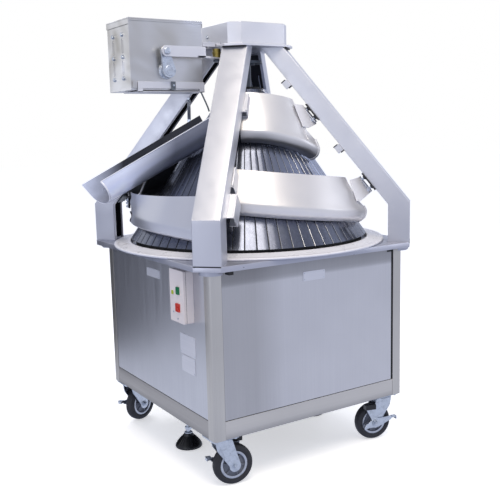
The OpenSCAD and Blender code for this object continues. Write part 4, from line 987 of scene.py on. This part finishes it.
def duster():
    w = 2.5
    g = Geo()
    g.box(HX0, HX1, HY0, HY0 + w, HZ0, HZ1, 0)
    g.box(HX0, HX1, HY1 - w, HY1, HZ0, HZ1, 0)
    g.box(HX0, HX0 + w, HY0 + w, HY1 - w, HZ0, HZ1, 0)
    g.box(HX1 - w, HX1, HY0 + w, HY1 - w, HZ0, HZ1, 0)
    # floor with the flour slot
    g.box(HX0 + w, HX1 - w, HY0 + w, HY0 + 70, HZ0, HZ0 + w, 0)
    g.box(HX0 + w, HX1 - w, HY0 + 110, HY1 - w, HZ0, HZ0 + w, 0)
    g.box(HX0 + w, HX0 + 40, HY0 + 70, HY0 + 110, HZ0, HZ0 + w, 0)
    g.box(HX1 - 40, HX1 - w, HY0 + 70, HY0 + 110, HZ0, HZ0 + w, 0)
    o = piece("duster_hopper_v", g, [M_hop], bevel=1.0, seg=2, repl=("duster_hopper",), weld=False)
    # fittings on the hopper
    g = Geo()
    M = T(CX, HY0, CZ) @ R(90, "X")
    g.lathe([(12.2, 0), (30, 0), (30, 3.6), (28.6, 5), (26, 5.4), (24, 6.8), (12.2, 7)], 48, 0, M)
    for a in (45, 135, 225, 315):
        g.hexa(3.2, 5, 8, 1, M @ R(a, "Z") @ T(26.2, 0, -1.2))
    g.lathe([(12.2, 0), (22, 0), (22, 5), (20.5, 6), (12.2, 6)], 40, 0, T(CX, HY1, CZ) @ R(-90, "X"))
    # stop and clamp of the slide
    g.box(HX0 + 4, HX0 + 20, HY0 - 9, HY0, HZ0 + 8, HZ0 + 32, 2)
    g.box(-363, -345, HY0 - 13, HY0 - 9.5, HZ0 + 2, HZ0 + 32, 3)
    g.box(-363, -345, HY0 - 9.5, HY0, HZ0 + 2, HZ0 + 5.5, 3)
    g.hexa(4, 0, 4, 1, T(-354, HY0 - 13, HZ0 + 18) @ R(90, "X"))
    # hinge ears
    for x in (HX0 + 40, HX1 - 60):
        prof = round_poly([(HY1, HZ1 - 22), (HY1 + 14, HZ1 - 20), (HY1 + 14, HZ1), (HY1, HZ1)], [0, 6, 6, 0], 4)
        g.prism([(y, z) for y, z in prof], x, x + 20, 2, Matrix(((0, 0, 1, 0), (1, 0, 0, 0), (0, 1, 0, 0), (0, 0, 0, 1))))
    # folded slots and bolts on the end face
    for y in (12, 95):
        for z0, z1 in ((1480, 1530), (1557, 1608)):
            p = round_poly([(-5, z0), (5, z0), (5, z1), (-5, z1)], 4.8, 5)
            loop = [(HX0 - 0.4, y + a, b) for a, b in p]
            g.tube(loop + loop[:2], 0.8, 8, 2)
    piece("hopper_fittings", g, [M_zinc, M_zinc, M_hop, M_dsteel], bevel=0.6, seg=2, weld=False)
    # lid
    g = Geo()
    g.box(HX0 - 3, HX1 + 3, HY0 - 3, HY1 + 1, HZ1 + 0.8, HZ1 + 5.6, 0)
    g.box(HX0 - 3, HX0 - 0.8, HY0 - 3, HY1 + 1, HZ1 - 18, HZ1 + 0.8, 0)
    g.box(HX1 + 0.8, HX1 + 3, HY0 - 3, HY1 + 1, HZ1 - 18, HZ1 + 0.8, 0)
    g.box(HX0 - 0.8, HX1 + 0.8, HY0 - 3, HY0 - 0.8, HZ1 - 5, HZ1 + 0.8, 0)
    for x in (HX0 + 61, HX1 - 80):
        Q = T(x, HY1 + 8, HZ1 - 8) @ R(90, "Y")
        g.cyl(6, 0, 18, 28, 0, Q)
        g.box(x, x + 18, HY1 + 0.5, HY1 + 14, HZ1 + 1.2, HZ1 + 5, 0)
        g.box(x, x + 18, HY1 + 2.5, HY1 + 13.5, HZ1 - 6, HZ1 + 1.2, 0)
    g.cyl(2.9, HX0 + 39, HX0 + 79, 20, 1, T(0, HY1 + 8, HZ1 - 8) @ R(90, "Y"))
    g.cyl(2.9, HX1 - 81, HX1 - 39, 20, 1, T(0, HY1 + 8, HZ1 - 8) @ R(90, "Y"))
    piece("duster_lid_v", g, [M_hop, M_zinc], "lid", bevel=0.9, seg=2, repl=("duster_lid",), weld=False)
    # bracket
    g = Geo()
    g.box(HX1 + 4, -139, HY0, HY0 + 60, 1597, 1602, 0)
    g.box(-157, -139, HY0, HY0 + 60, 1593.2, 1597, 0)
    for y in (HY0, HY0 + 56):
        g.box(HX1 + 4, -162, y, y + 4, 1586, 1597, 0)
    g.box(HX1 + 0.2, HX1 + 4, HY0 + 2, HY0 + 64, 1555, 1635, 0)
    g.box(HX1 + 0.2, -189, 112, 116, 1490, 1550, 0)
    g.box(HX1 + 0.2, HX1 + 4, 90, 112, 1490, 1550, 0)
    for y in (HY0 + 16, HY0 + 44):
        g.hexa(6, 0, 5, 1, T(-180, y, 1602))
        g.hexa(5, 0, 4, 1, T(HX1 + 4, y, 1622) @ R(90, "Y"))
    piece("duster_bracket_v", g, [M_paint, M_zinc], bevel=0.9, seg=2, repl=("duster_bracket",), weld=False)
    # crank: forged arm with two eyes
    g = Geo()
    dx, dz = PX - CX, PZ - CZ
    ang = math.atan2(dz, dx)
    out = []
    r0, r1, L = 25.5, 17.0, 70.4
    k = math.asin((r0 - r1) / L) if r0 > r1 else 0
    for i in range(25):
        a = ang + math.pi / 2 - k + (math.pi + 2 * k) * i / 24
        out.append((r0 * math.cos(a), r0 * math.sin(a)))
    for i in range(25):
        a = ang - math.pi / 2 + k + (math.pi - 2 * k) * i / 24
        out.append((dx + r1 * math.cos(a), dz + r1 * math.sin(a)))
    Q = T(CX, -70, CZ) @ R(90, "X")
    g.prism(out, 0, 10, 0, Q)
    g.lathe([(12.2, -12.4), (22, -12.4), (22, 0.1), (12.2, 0.1)], 44, 0, Q)
    g.lathe([(0, 9.8), (19, 9.8), (19, 10.8), (17.6, 11.8), (0, 12)], 40, 0, Q)
    Q2 = T(PX, -80, PZ) @ R(90, "X")
    g.cyl(7.9, 0, 13, 32, 0, Q2)
    g.lathe([(0, 13), (12, 13), (12.6, 14.2), (12.4, 17), (10.5, 18.8), (6, 19.4), (0, 19.5)], 40, 0, Q2)
    piece("duster_crank_v", g, [M_zinc], "crank", bevel=1.0, seg=3, repl=("duster_crank",))
    # link bar with its bent tab
    g = Geo()
    pl = [(19.5 * math.cos(math.radians(a)), 19.5 * math.sin(math.radians(a))) for a in range(90, 271, 9)]
    pl += [(-232 - PX, -19.5), (-228 - PX, -17), (-228 - PX, 17), (-232 - PX, 19.5)]
    g.prism(pl, 0, 8, 0, T(PX, -84, PZ) @ R(90, "X"))
    zt = PZ - 19.5
    tab = [(-262, -92), (-228, -92), (-143, -55)] + [(-152 + 17 * math.cos(math.radians(a)), -40 + 17 * math.sin(math.radians(a))) for a in range(-58, 122, 12)] + [(-161, -25), (-262, -84)]
    g.prism(tab, zt, zt + 6, 0)
    piece("link_bar_v", g, [M_paint], "link", bevel=1.2, seg=3, repl=("link_bar",))
    g = Geo()
    g.lathe([(8.2, zt + 6.2), (14, zt + 6.2), (15, zt + 7.2), (15, zt + 19), (17, zt + 20.4), (17, zt + 27), (15, zt + 28.4), (15, zt + 39), (13.8, zt + 40), (8.2, zt + 40)], 48, 0, T(-152, -40, 0))
    piece("pivot_bush_v", g, [M_brass], "link", repl=("pivot_bush",), angle=30)
    # slide
    g = Geo()
    p = round_poly([(-496, HZ0 + 6), (-220, HZ0 + 6), (-220, HZ0 + 31), (-496, HZ0 + 31)], 3, 4)
    g.prism(p, 0, 7, 0, T(0, HY0 - 1.5, 0) @ R(90, "X"))
    g.box(-496, -476, HY0 - 8.5, HY0 - 1.5, HZ0 - 6.5, HZ0 + 6, 0)
    g.box(-240, -220, HY0 - 8.5, HY0 - 1.5, HZ0 - 6.5, HZ0 + 6, 0)
    g.box(-496, -220, HY0 - 8.5, HY0 + 121, HZ0 - 6.5, HZ0 - 3.5, 0)
    path = [(-234, HY0 - 5, HZ0 - 6), (-229, HY0 - 5, HZ0 - 16), (-222, HY0 - 5, HZ0 - 30), (-214, HY0 - 5, HZ0 - 46), (-206, HY0 - 5, HZ0 - 64), (-201, HY0 - 5, HZ0 - 78)]
    g.tube([tuple(x) for x in spline(path, 4)], 3.0, 12, 1)
    piece("duster_slide_v", g, [M_paint, M_dsteel], "gate", bevel=0.8, seg=2, repl=("duster_slide",), weld=False)


# ---------------------------------------------------------------- bolts
def bolts():
    g = Geo()

    def bolt(M, r=8.5, h=6):
        g.cyl(r * 1.18, 0, 1.4, 28, 0, M)
        g.hexa(r, 1.4, h, 0, M, 12)
        g.lathe([(0, h), (r * 0.8, h), (r * 0.62, h + 0.8), (0, h + 0.9)], 24, 0, M)

    for a in LEG_AZ.values():
        for s in (-26, 26):
            bolt(R(a, "Z") @ T(600, s, DECK + 6))
    for y in (12, 95):
        for z in (1466, 1543, 1622):
            bolt(T(HX0, y, z) @ R(-90, "Y"), 7, 5)
    bolt(T(-137, 52, 1634) @ R(-90, "Y"), 6.5, 5)
    bolt(T(137, -52, 1634) @ R(90, "Y"), 6.5, 5)
    for y, z in ((-241, 632), (-273, 611)):
        M = T(-479.5, y, z) @ R(-90, "Y")
        g.lathe([(0, 0), (3.6, 0), (3.6, 1.2), (2.8, 2.0), (0, 2.1)], 20, 0, M)
    for x in (-95, 95):
        for y in (-80, 125):
            bolt(T(x, y, 572), 8, 6)
    piece("frame_bolts_v", g, [M_zinc], bevel=0.4, seg=1, repl=("frame_bolts",))


# ---------------------------------------------------------------- switch box
def windowed(g, ys, zs, skip, d0, d1, mi, M, r=0.0):
    """One plate with rectangular windows: a grid of cells less the skipped ones, outer corners rounded by r."""
    pts, idx, loops = [], {}, []

    def vid(q):
        k = (round(q[0], 3), round(q[1], 3))
        if k not in idx:
            idx[k] = len(pts)
            pts.append(q)
        return idx[k]

    for i in range(len(ys) - 1):
        for j in range(len(zs) - 1):
            if (i, j) in skip:
                continue
            c = []
            for a, b, turn in ((i, j, 180), (i + 1, j, 270), (i + 1, j + 1, 0), (i, j + 1, 90)):
                q = (ys[a], zs[b])
                if r and a in (0, len(ys) - 1) and b in (0, len(zs) - 1):
                    o = (q[0] + (r if a == 0 else -r), q[1] + (r if b == 0 else -r))
                    c += [(o[0] + r * math.cos(math.radians(turn + 18 * k)), o[1] + r * math.sin(math.radians(turn + 18 * k))) for k in range(6)]
                else:
                    c.append(q)
            loops.append([vid(q) for q in c])
    n = len(pts)
    f = [[n + k for k in l] for l in loops] + [l[::-1] for l in loops]
    de = {(l[k], l[(k + 1) % len(l)]) for l in loops for k in range(len(l))}
    f += [[a, b, n + b, n + a] for a, b in sorted(de) if (b, a) not in de]
    g.add([(a, b, d0) for a, b in pts] + [(a, b, d1) for a, b in pts], f, mi, M)


def switchbox():
    x1, x0 = -439.6, -479.5
    y0, y1, z0, z1 = -320.0, -215.0, 597.0, 787.0
    g = Geo()
    p = round_poly([(y0, z0), (y1, z0), (y1, z1), (y0, z1)], 5, 5)
    MX = Matrix(((0, 0, -1, 0), (1, 0, 0, 0), (0, 1, 0, 0), (0, 0, 0, 1)))   # local x,y,z -> world y,z,-x
    g.prism(p, 439.6, 468.0, 0, MX)
    q = round_poly([(y0 - 0.0, z0), (y1, z0), (y1, z1), (y0, z1)], 5, 5)
    g.prism([(a * 0.996 - 1.07, b * 0.998 + 1.4) for a, b in q], 468.0, 469.2, 1, MX)
    g.prism(q, 469.2, 475.4, 0, MX)
    # front with the two buttons' windows
    windowed(g, [y0, -294.4, -293.4, -270.6, -263.6, y1], [z0, 636.6, 667.4, 700.1, 727.9, z1], {(1, 1), (2, 1), (3, 1), (2, 3)}, 475.4, 479.5, 0, MX, 5.0)
    # raised frames round the buttons
    for cy, cz, a, b in ((-282, 714, 15, 17), (-279, 652, 19, 19)):
        wa, wb = (11.4, 13.9) if a == 15 else (15.4, 15.4)
        windowed(g, [cy - a, cy - wa, cy + wa, cy + a], [cz - b, cz - wb, cz + wb, cz + b], {(1, 1)}, 479.5, 481.2, 0, MX, 2.0)
    piece("control_box_v", g, [M_box, M_dark_and_shade], bevel=1.4, seg=3, repl=("control_box",), weld=False)
    for nm, body, cy, cz, a, b, m, sl in (("start_button", "start", -282, 714, 11, 13.5, M_green, "button_green"), ("stop_button", "stop", -279, 652, 15, 15, M_red, "button_red")):
        g = Geo()
        pr = round_poly([(cy - a, cz - b), (cy + a, cz - b), (cy + a, cz + b), (cy - a, cz + b)], 3, 4)
        g.prism(pr, 480.2, 485.5, 0, MX)
        c2 = [(cy + (x - cy) * 0.84, cz + (y - cz) * 0.84) for x, y in pr]
        g.prism(c2, 485.5, 486.3, 0, MX)
        piece(nm + "_v", g, [m], body, bevel=0.8, seg=3, repl=(nm,))
    g = Geo()
    pr = round_poly([(-250, 693), (-232, 693), (-232, 713), (-250, 713)], 3, 4)
    g.prism(pr, 479.4, 481.0, 1, MX)
    pr = round_poly([(-247, 696), (-235, 696), (-235, 710), (-247, 710)], 3, 4)
    g.prism(pr, 481.0, 484.2, 0, MX)
    piece("indicator_lamp_v", g, [M_lamp, M_box], bevel=0.7, seg=3, repl=("indicator_lamp",))


# ---------------------------------------------------------------- casters and feet
CAST = {"front": (-384, -384, -10), "right": (384, -384, 165), "left": (-384, 384, 20), "rear": (384, 384, 205)}


def casters():
    g = Geo()
    for x, y, a in CAST.values():
        M = T(x, y, 0)
        p = round_poly([(-55, -45), (55, -45), (55, 45), (-55, 45)], 9, 5)
        g.prism(p, 184, 189.8, 0, M)
        g.cyl(8, 165, 184.2, 28, 0, M)
        g.lathe([(0, 158), (9, 158), (13, 160), (13, 163.4), (0, 163.4)], 28, 0, M)
        for i in (-42, 42):
            for j in (-33, 33):
                g.hexa(6.4, 177.5, 184, 0, M @ T(i, j, 0), 10)
    piece("caster_plates_v", g, [M_zinc], bevel=0.8, seg=2, repl=("caster_plates",))
    tr = 42.0
    for c, (x, y, a) in CAST.items():
        M = T(x, y, 0) @ R(a, "Z")
        g = Geo()
        # swivel race and crown
        g.lathe([(8.3, 177), (30, 177), (33, 178), (33.4, 180), (31, 183.4), (8.3, 183.5)], 48, 0, M)
        p = round_poly([(-33, -29), (35, -29), (35, 29), (-33, 29)], 8, 5)
        g.prism(p, 171, 177, 0, M)
        for s in (25.2, -28.8):
            out = [(-32, 176), (34, 176)]
            for k in range(13):
                t = math.radians(12 - 196 * k / 12)
                out.append((tr + 22 * math.cos(t), 75 + 22 * math.sin(t)))
            out += [(-24, 140)]
            g.prism(round_poly(out, [6, 6] + [0] * 13 + [14], 4), 0, 3.8, 0, M @ T(0, s + 3.8, 0) @ R(90, "X"))
        # axle with nut and pedal boss
        A = M @ T(tr, 0, 75) @ R(-90, "X")
        g.cyl(6, -38, 39, 24, 0, A)
        g.cyl(12, 29, 36, 32, 0, A)
        g.lathe([(0, 36), (14, 36), (14, 38), (12.5, 39), (0, 39)], 32, 0, A)
        g.hexa(10, 39, 45, 0, A, 8)
        g.cyl(13, -30.6, -28.8, 32, 0, A)
        g.hexa(10, -37, -30.6, 0, A, 20)
        g.cyl(6, -42, -37, 24, 0, A)
        piece("fork_%s_v" % c, g, [M_zinc], "swivel_" + c, bevel=1.2, seg=3, repl=("fork_" + c,))
        g = Geo()
        prof = [(6.2, -22), (15, -22), (17, -20), (18.5, -9), (22, -7.5), (38, -7), (41, -9), (43, -16), (46, -17.5), (49.5, -17.5), (52, -16.5),
                (52, 16.5), (49.5, 17.5), (46, 17.5), (43, 16), (41, 9), (38, 7), (22, 7.5), (18.5, 9), (17, 20), (15, 22), (6.2, 22)]
        mi = [0] * 7 + [1, 1, 1] + [0, 0] + [1, 1, 1] + [0] * 7
        g.lathe(prof, 72, mi, A)
        # ribs of the wheel's disc
        for k in range(6):
            Q = A @ R(60 * k + 10, "Z")
            g.box(16, 42, -2.2, 2.2, -12.5, 12.5, 0, Q)
        piece("rim_%s_v" % c, g, [M_rim, M_rimring], "wheel_" + c, bevel=0, repl=("rim_" + c,), angle=35)
        g = Geo()
        prof = [(52.1, -17.5), (54, -18.6), (59, -19.8), (65, -19.4), (69.5, -17.4), (72.6, -14), (74.3, -9.5), (74.9, -4), (74.9, 4), (74.3, 9.5), (72.6, 14), (69.5, 17.4), (65, 19.4), (59, 19.8), (54, 18.6), (52.1, 17.5)]
        g.lathe(prof, 96, 0, A)
        piece("tyre_%s_v" % c, g, [M_tyre], "wheel_" + c, repl=("tyre_" + c,), angle=60)
        # brake pedal: pressed lever with a turned tread at each end
        g = Geo()
        Q = M @ T(tr, 30, 75) @ R(-90, "X")
        lev = round_poly([(-74, -22), (-71, -7), (-16, 17), (0, 21), (14, 18.5), (46, 21), (49, 10), (17, -13), (0, -21), (-14, -18)], [5, 5, 8, 8, 6, 4, 4, 8, 8, 8], 4)
        hole = [(12.1 * math.cos(2 * math.pi * k / 28), 12.1 * math.sin(2 * math.pi * k / 28)) for k in range(28)]
        n, m = len(lev), len(hole)
        # lever plate with its bore, as four quads strips round the hole
        vv = [(a_, b_, 0.2) for a_, b_ in lev] + [(a_, b_, 4.8) for a_, b_ in lev] + [(a_, b_, 0.2) for a_, b_ in hole] + [(a_, b_, 4.8) for a_, b_ in hole]
        ff = [[i, (i + 1) % n, n + (i + 1) % n, n + i] for i in range(n)] + [[2 * n + i, 2 * n + m + i, 2 * n + m + (i + 1) % m, 2 * n + (i + 1) % m] for i in range(m)]
        an = lambda q: math.atan2(q[1], q[0]) % (2 * math.pi)
        near = [min(range(m), key=lambda h_: abs((an(hole[h_]) - an(p_) + math.pi) % (2 * math.pi) - math.pi)) for p_ in lev]
        for i in range(n):
            j = (i + 1) % n
            chain = [near[i]]
            d = (near[j] - near[i]) % m
            step = 1 if d <= m // 2 else -1
            while chain[-1] != near[j]:
                chain.append((chain[-1] + step) % m)
            ff.append([i, j] + [2 * n + q for q in chain[::-1]])
            ff.append([n + j, n + i] + [2 * n + m + q for q in chain])
        g.add(vv, ff, 0, Q)
        g.box(-88, -69, -23.5, -19.5, 0.2, 18, 0, Q)
        g.box(-88, -84, -23.5, -10, 0.2, 18, 0, Q)
        g.box(-84, -70, -19.5, -12, 0.2, 4.8, 0, Q)
        g.box(46, 51.5, 9.5, 21.5, 0.2, 12, 0, Q)
        # upper arm with a ribbed foot pad
        g.prism(round_poly([(-12, -14), (16, -12), (46, -68), (14, -72)], [3, 3, 6, 6], 3), 0.6, 4.4, 0, Q)
        g.box(8.5, 53.5, -85.5, -66, 0.4, 25.5, 1, Q)
        for k in range(6):
            g.box(9.5 + 7.6 * k, 13 + 7.6 * k, -87, -85.3, 1.2, 25, 1, Q)
        piece("pedal_%s_v" % c, g, [M_zinc, M_blackmetal], "brake_" + c, bevel=0.9, seg=2, repl=("pedal_" + c,), weld=False)
    for nm, x, body in (("left", -314, "left_foot"), ("right", 314, "right_foot")):
        g = Geo()
        M = T(x, 0, 0)
        g.lathe([(0, 0), (51, 0), (54, 1.4), (55, 4.5), (54.2, 9), (50, 14.5), (42, 24), (33, 34), (25, 42), (20, 49), (18, 55), (15, 57.5), (0, 57.5)], 64, 0, M)
        for k in range(24):
            a = 15 * k
            Q = M @ R(a, "Z")
            pts = [(22, 45.5), (33, 34.2), (42, 24.2), (50, 14.7), (50.6, 15.6), (43.2, 25.6), (34.4, 35.6), (23.4, 47)]
            g.prism([(x_, z_) for x_, z_ in pts], -0.9, 0.9, 0, Q @ R(90, "X"))
        g.cyl(8, 57, 245, 28, 1, M)
        for z in range(84, 244, 3):
            g.lathe([(7.4, z), (8.3, z + 0.9), (8.3, z + 1.3), (7.4, z + 2.2)], 20, 1, M)
        g.hexa(15, 72, 82, 1, M, 12)
        g.lathe([(8.3, 57.5), (17, 57.5), (17, 60), (12, 63), (8.3, 63)], 40, 1, M)
        piece("foot_%s_v" % nm, g, [M_foot, M_zinc], body, repl=("foot_" + nm,), angle=30)


cabinet()
panels()
deck()
ring()
legs()
top()


def rolled_waves(a, q, h, a1=310.0):
    """Waves and dents left by hand rolling, strongest at the free end."""
    e = math.exp(-((a - a1 + 8) / 9) ** 2)
    w = 1.6 * math.sin(math.radians((a - 230) * 8.5)) * min(1.0, q / h) ** 2
    d = 2.6 * e * math.sin((q - 12) * 0.075)
    d -= 2.6 * math.exp(-((a - a1 + 27) / 10) ** 2) * math.exp(-((q - 62) / 20) ** 2)
    d += 2.0 * math.exp(-((a - a1 + 50) / 9) ** 2) * math.exp(-((q - 44) / 18) ** 2)
    return w + d


track("track_lower_front", 232, 310, 967, 902, 164, 172, crease=303, bead=4.6, dent=rolled_waves)


def hand_bent(a, q, h):
    """Dents of the lower left track, bent by hand; its free end is flared and crumpled."""
    e = math.exp(-((a - 163) / 8) ** 2)
    w = 2.6 * math.sin(math.radians((a - 150) * 7.2)) * (q / h) ** 1.5
    d = -6.0 * e * math.exp(-((q - 58) / 26) ** 2) + 3.0 * math.exp(-((a - 198) / 7) ** 2) * (q / h)
    t = math.exp(-((a - 152) / 6) ** 2)
    flare = -9.0 * t * math.exp(-((q - 36) / 24) ** 2)
    crush = 2.2 * t * math.sin(q * 0.16) - 5.0 * math.exp(-((a - 159) / 6) ** 2) * math.exp(-((q - 46) / 16) ** 2)
    return w + d + flare + crush


track("track_lower_left", 152, 222, 904, 868, 128, 174, bead=0, p=2.2, tight=0.45, dent=hand_bent, skin=M_sheet_left, lean0=0.12, lip=2.4)
track("track_rear_left", 60, 157, 1058, 956.5, 164, 164)
track("track_rear_right", -2, 40, 1112, 1060, 166, 164)
track("track_upper_front", 233, 300, 1221, 1150, 188, 222, crease=291, low=(104, 76), bead=4.6, p=2.2, skin=M_sheet_up, dent=lambda a, q, h: rolled_waves(a, q, h, 300.0))
build_chute()
mounts()
cone()
duster()
bolts()
switchbox()
casters()

# carried-over solids inside the machine keep their CAD shape
for nm, m in (("shaft_bearings", M_dark_and_shade), ("gear_reducer", M_cast), ("drive_motor", M_motor), ("motor_rotor", M_zinc), ("main_shaft", M_dsteel),
              ("worm_wheel", M_brass), ("duster_roller", M_zinc), ("eccentric_strap", M_dsteel)):
    me = NODES[nm].data
    me.materials.clear()
    me.materials.append(m)

# ---------------------------------------------------------------- stage: floor, light, camera
fl = bpy.data.meshes.new("floor")
fl.from_pydata([(-30, -30, -0.0008), (30, -30, -0.0008), (30, 30, -0.0008), (-30, 30, -0.0008)], [], [(0, 1, 2, 3)])
mf = Mat("floor_pale", 0.6, 0.0, (0.9, 0.9, 0.9, 1), Emission_Color=(1.0, 1.0, 1.0, 1), Emission_Strength=0.5)
mf.color(mf.ramp(mf.noise(size=0.8, detail=3), [(0.3, (0.90, 0.90, 0.905, 1)), (0.7, (0.93, 0.93, 0.93, 1))]))
fl.materials.append(mf.m)
floor = bpy.data.objects.new("floor", fl)
scene.collection.objects.link(floor)
floor.visible_glossy = False
floor.visible_diffuse = False

world = bpy.data.worlds.new("studio")
scene.world = world
world.use_nodes = True
wn = world.node_tree
bg = wn.nodes["Background"]
tcw = wn.nodes.new("ShaderNodeTexCoord")
sep = wn.nodes.new("ShaderNodeSeparateXYZ")
mr = wn.nodes.new("ShaderNodeMapRange")
mr.inputs["From Min"].default_value, mr.inputs["From Max"].default_value = -1.0, 1.0
ra = wn.nodes.new("ShaderNodeValToRGB")
wn.links.new(tcw.outputs["Generated"], sep.inputs["Vector"])
wn.links.new(sep.outputs["Z"], mr.inputs["Value"])
wn.links.new(mr.outputs["Result"], ra.inputs["Fac"])
SKY = [(-1.0, (0.42, 0.48, 0.66)), (-0.6, (0.48, 0.53, 0.70)), (-0.36, (0.76, 0.795, 0.91)), (-0.14, (0.54, 0.575, 0.71)), (0.05, (0.57, 0.61, 0.755)),
       (0.3, (0.59, 0.63, 0.765)), (0.7, (0.53, 0.55, 0.635)), (1.0, (0.50, 0.50, 0.55))]
el = ra.color_ramp.elements
el[0].position, el[0].color = 0.0, SKY[0][1] + (1.0,)
el[1].position, el[1].color = 1.0, SKY[-1][1] + (1.0,)
for h, c in SKY[1:-1]:
    el.new(h * 0.5 + 0.5).color = c + (1.0,)
wn.links.new(ra.outputs["Color"], bg.inputs["Color"])
bg.inputs["Strength"].default_value = 1.0
bg2 = wn.nodes.new("ShaderNodeBackground")
bg2.inputs["Color"].default_value = (1, 1, 1, 1)
bg2.inputs["Strength"].default_value = 1.0
lp = wn.nodes.new("ShaderNodeLightPath")
mx = wn.nodes.new("ShaderNodeMixShader")
wn.links.new(lp.outputs["Is Camera Ray"], mx.inputs["Fac"])
wn.links.new(bg.outputs[0], mx.inputs[1])
wn.links.new(bg2.outputs[0], mx.inputs[2])
wn.links.new(mx.outputs[0], wn.nodes["World Output"].inputs["Surface"])


def area(name, loc, target, sx, sy, power, col):
    d = bpy.data.lights.new(name, "AREA")
    d.shape, d.size, d.size_y, d.energy, d.color = "RECTANGLE", sx, sy, power, col
    o = bpy.data.objects.new(name, d)
    scene.collection.objects.link(o)
    o.location = loc
    o.rotation_mode = "QUATERNION"
    o.rotation_quaternion = (Vector(target) - Vector(loc)).to_track_quat("-Z", "Y")
    return o


area("key", (-0.85, -1.8, 3.7), (0, -0.2, 1.0), 1.5, 1.8, 64, (1.0, 0.91, 0.77))
area("back", (0.6, 2.6, 3.4), (0, 0, 1.2), 2.4, 1.6, 40, (1.0, 0.98, 0.96))
area("left_fill", (-3.0, -1.3, 1.45), (-0.5, 0.2, 1.05), 1.0, 1.4, 6, (0.92, 0.95, 1.0))
area("right_fill", (3.4, -2.6, 2.2), (0, 0, 0.9), 1.6, 2.2, 16, (0.96, 0.97, 1.0))


def card(name, quad, col):
    """A reflector or flag that only shows in reflections."""
    me = bpy.data.meshes.new(name)
    me.from_pydata(quad, [], [(0, 1, 2, 3)])
    mc = Mat(name, 0.9, 0.0, (0.0, 0.0, 0.0, 1), Emission_Color=col, Emission_Strength=1.0)
    me.materials.append(mc.m)
    o = bpy.data.objects.new(name, me)
    scene.collection.objects.link(o)
    o.visible_camera = o.visible_diffuse = o.visible_shadow = o.visible_transmission = False


card("flag_left", [(-1.85, 1.9, -0.14), (-0.5, 1.9, -0.14), (-0.5, 1.9, 1.15), (-1.85, 1.9, 1.15)], (0.01, 0.01, 0.015, 1))
card("panel_back_left", [(-3.6, 3.0, 1.35), (-0.9, 3.4, 1.35), (-0.9, 3.4, 3.0), (-3.6, 3.0, 3.0)], (0.92, 0.94, 1.0, 1))

card("panel_right_high", [(2.9, 0.9, 1.6), (2.9, -1.2, 1.6), (2.9, -1.2, 3.4), (2.9, 0.9, 3.4)], (0.92, 0.97, 1.12, 1))

cam_d = bpy.data.cameras.new("camera")
cam = bpy.data.objects.new("camera", cam_d)
scene.collection.objects.link(cam)
yaw, pit, roll = math.radians(32.579), math.radians(8.779), -0.0240486
d = Vector((math.sin(yaw) * math.cos(pit), math.cos(yaw) * math.cos(pit), -math.sin(pit)))
r0 = d.cross(Vector((0, 0, 1))).normalized()
u0 = r0.cross(d)
rr = math.cos(roll) * r0 + math.sin(roll) * u0
uu = -math.sin(roll) * r0 + math.cos(roll) * u0
cam.matrix_world = Matrix(((rr.x, uu.x, -d.x, -1.6917), (rr.y, uu.y, -d.y, -2.6551), (rr.z, uu.z, -d.z, 1.2628), (0, 0, 0, 1)))
cam_d.sensor_width, cam_d.lens = 36.0, 55.2
cam_d.clip_start, cam_d.clip_end = 0.05, 100
scene.camera = cam
scene.view_settings.view_transform = "Standard"
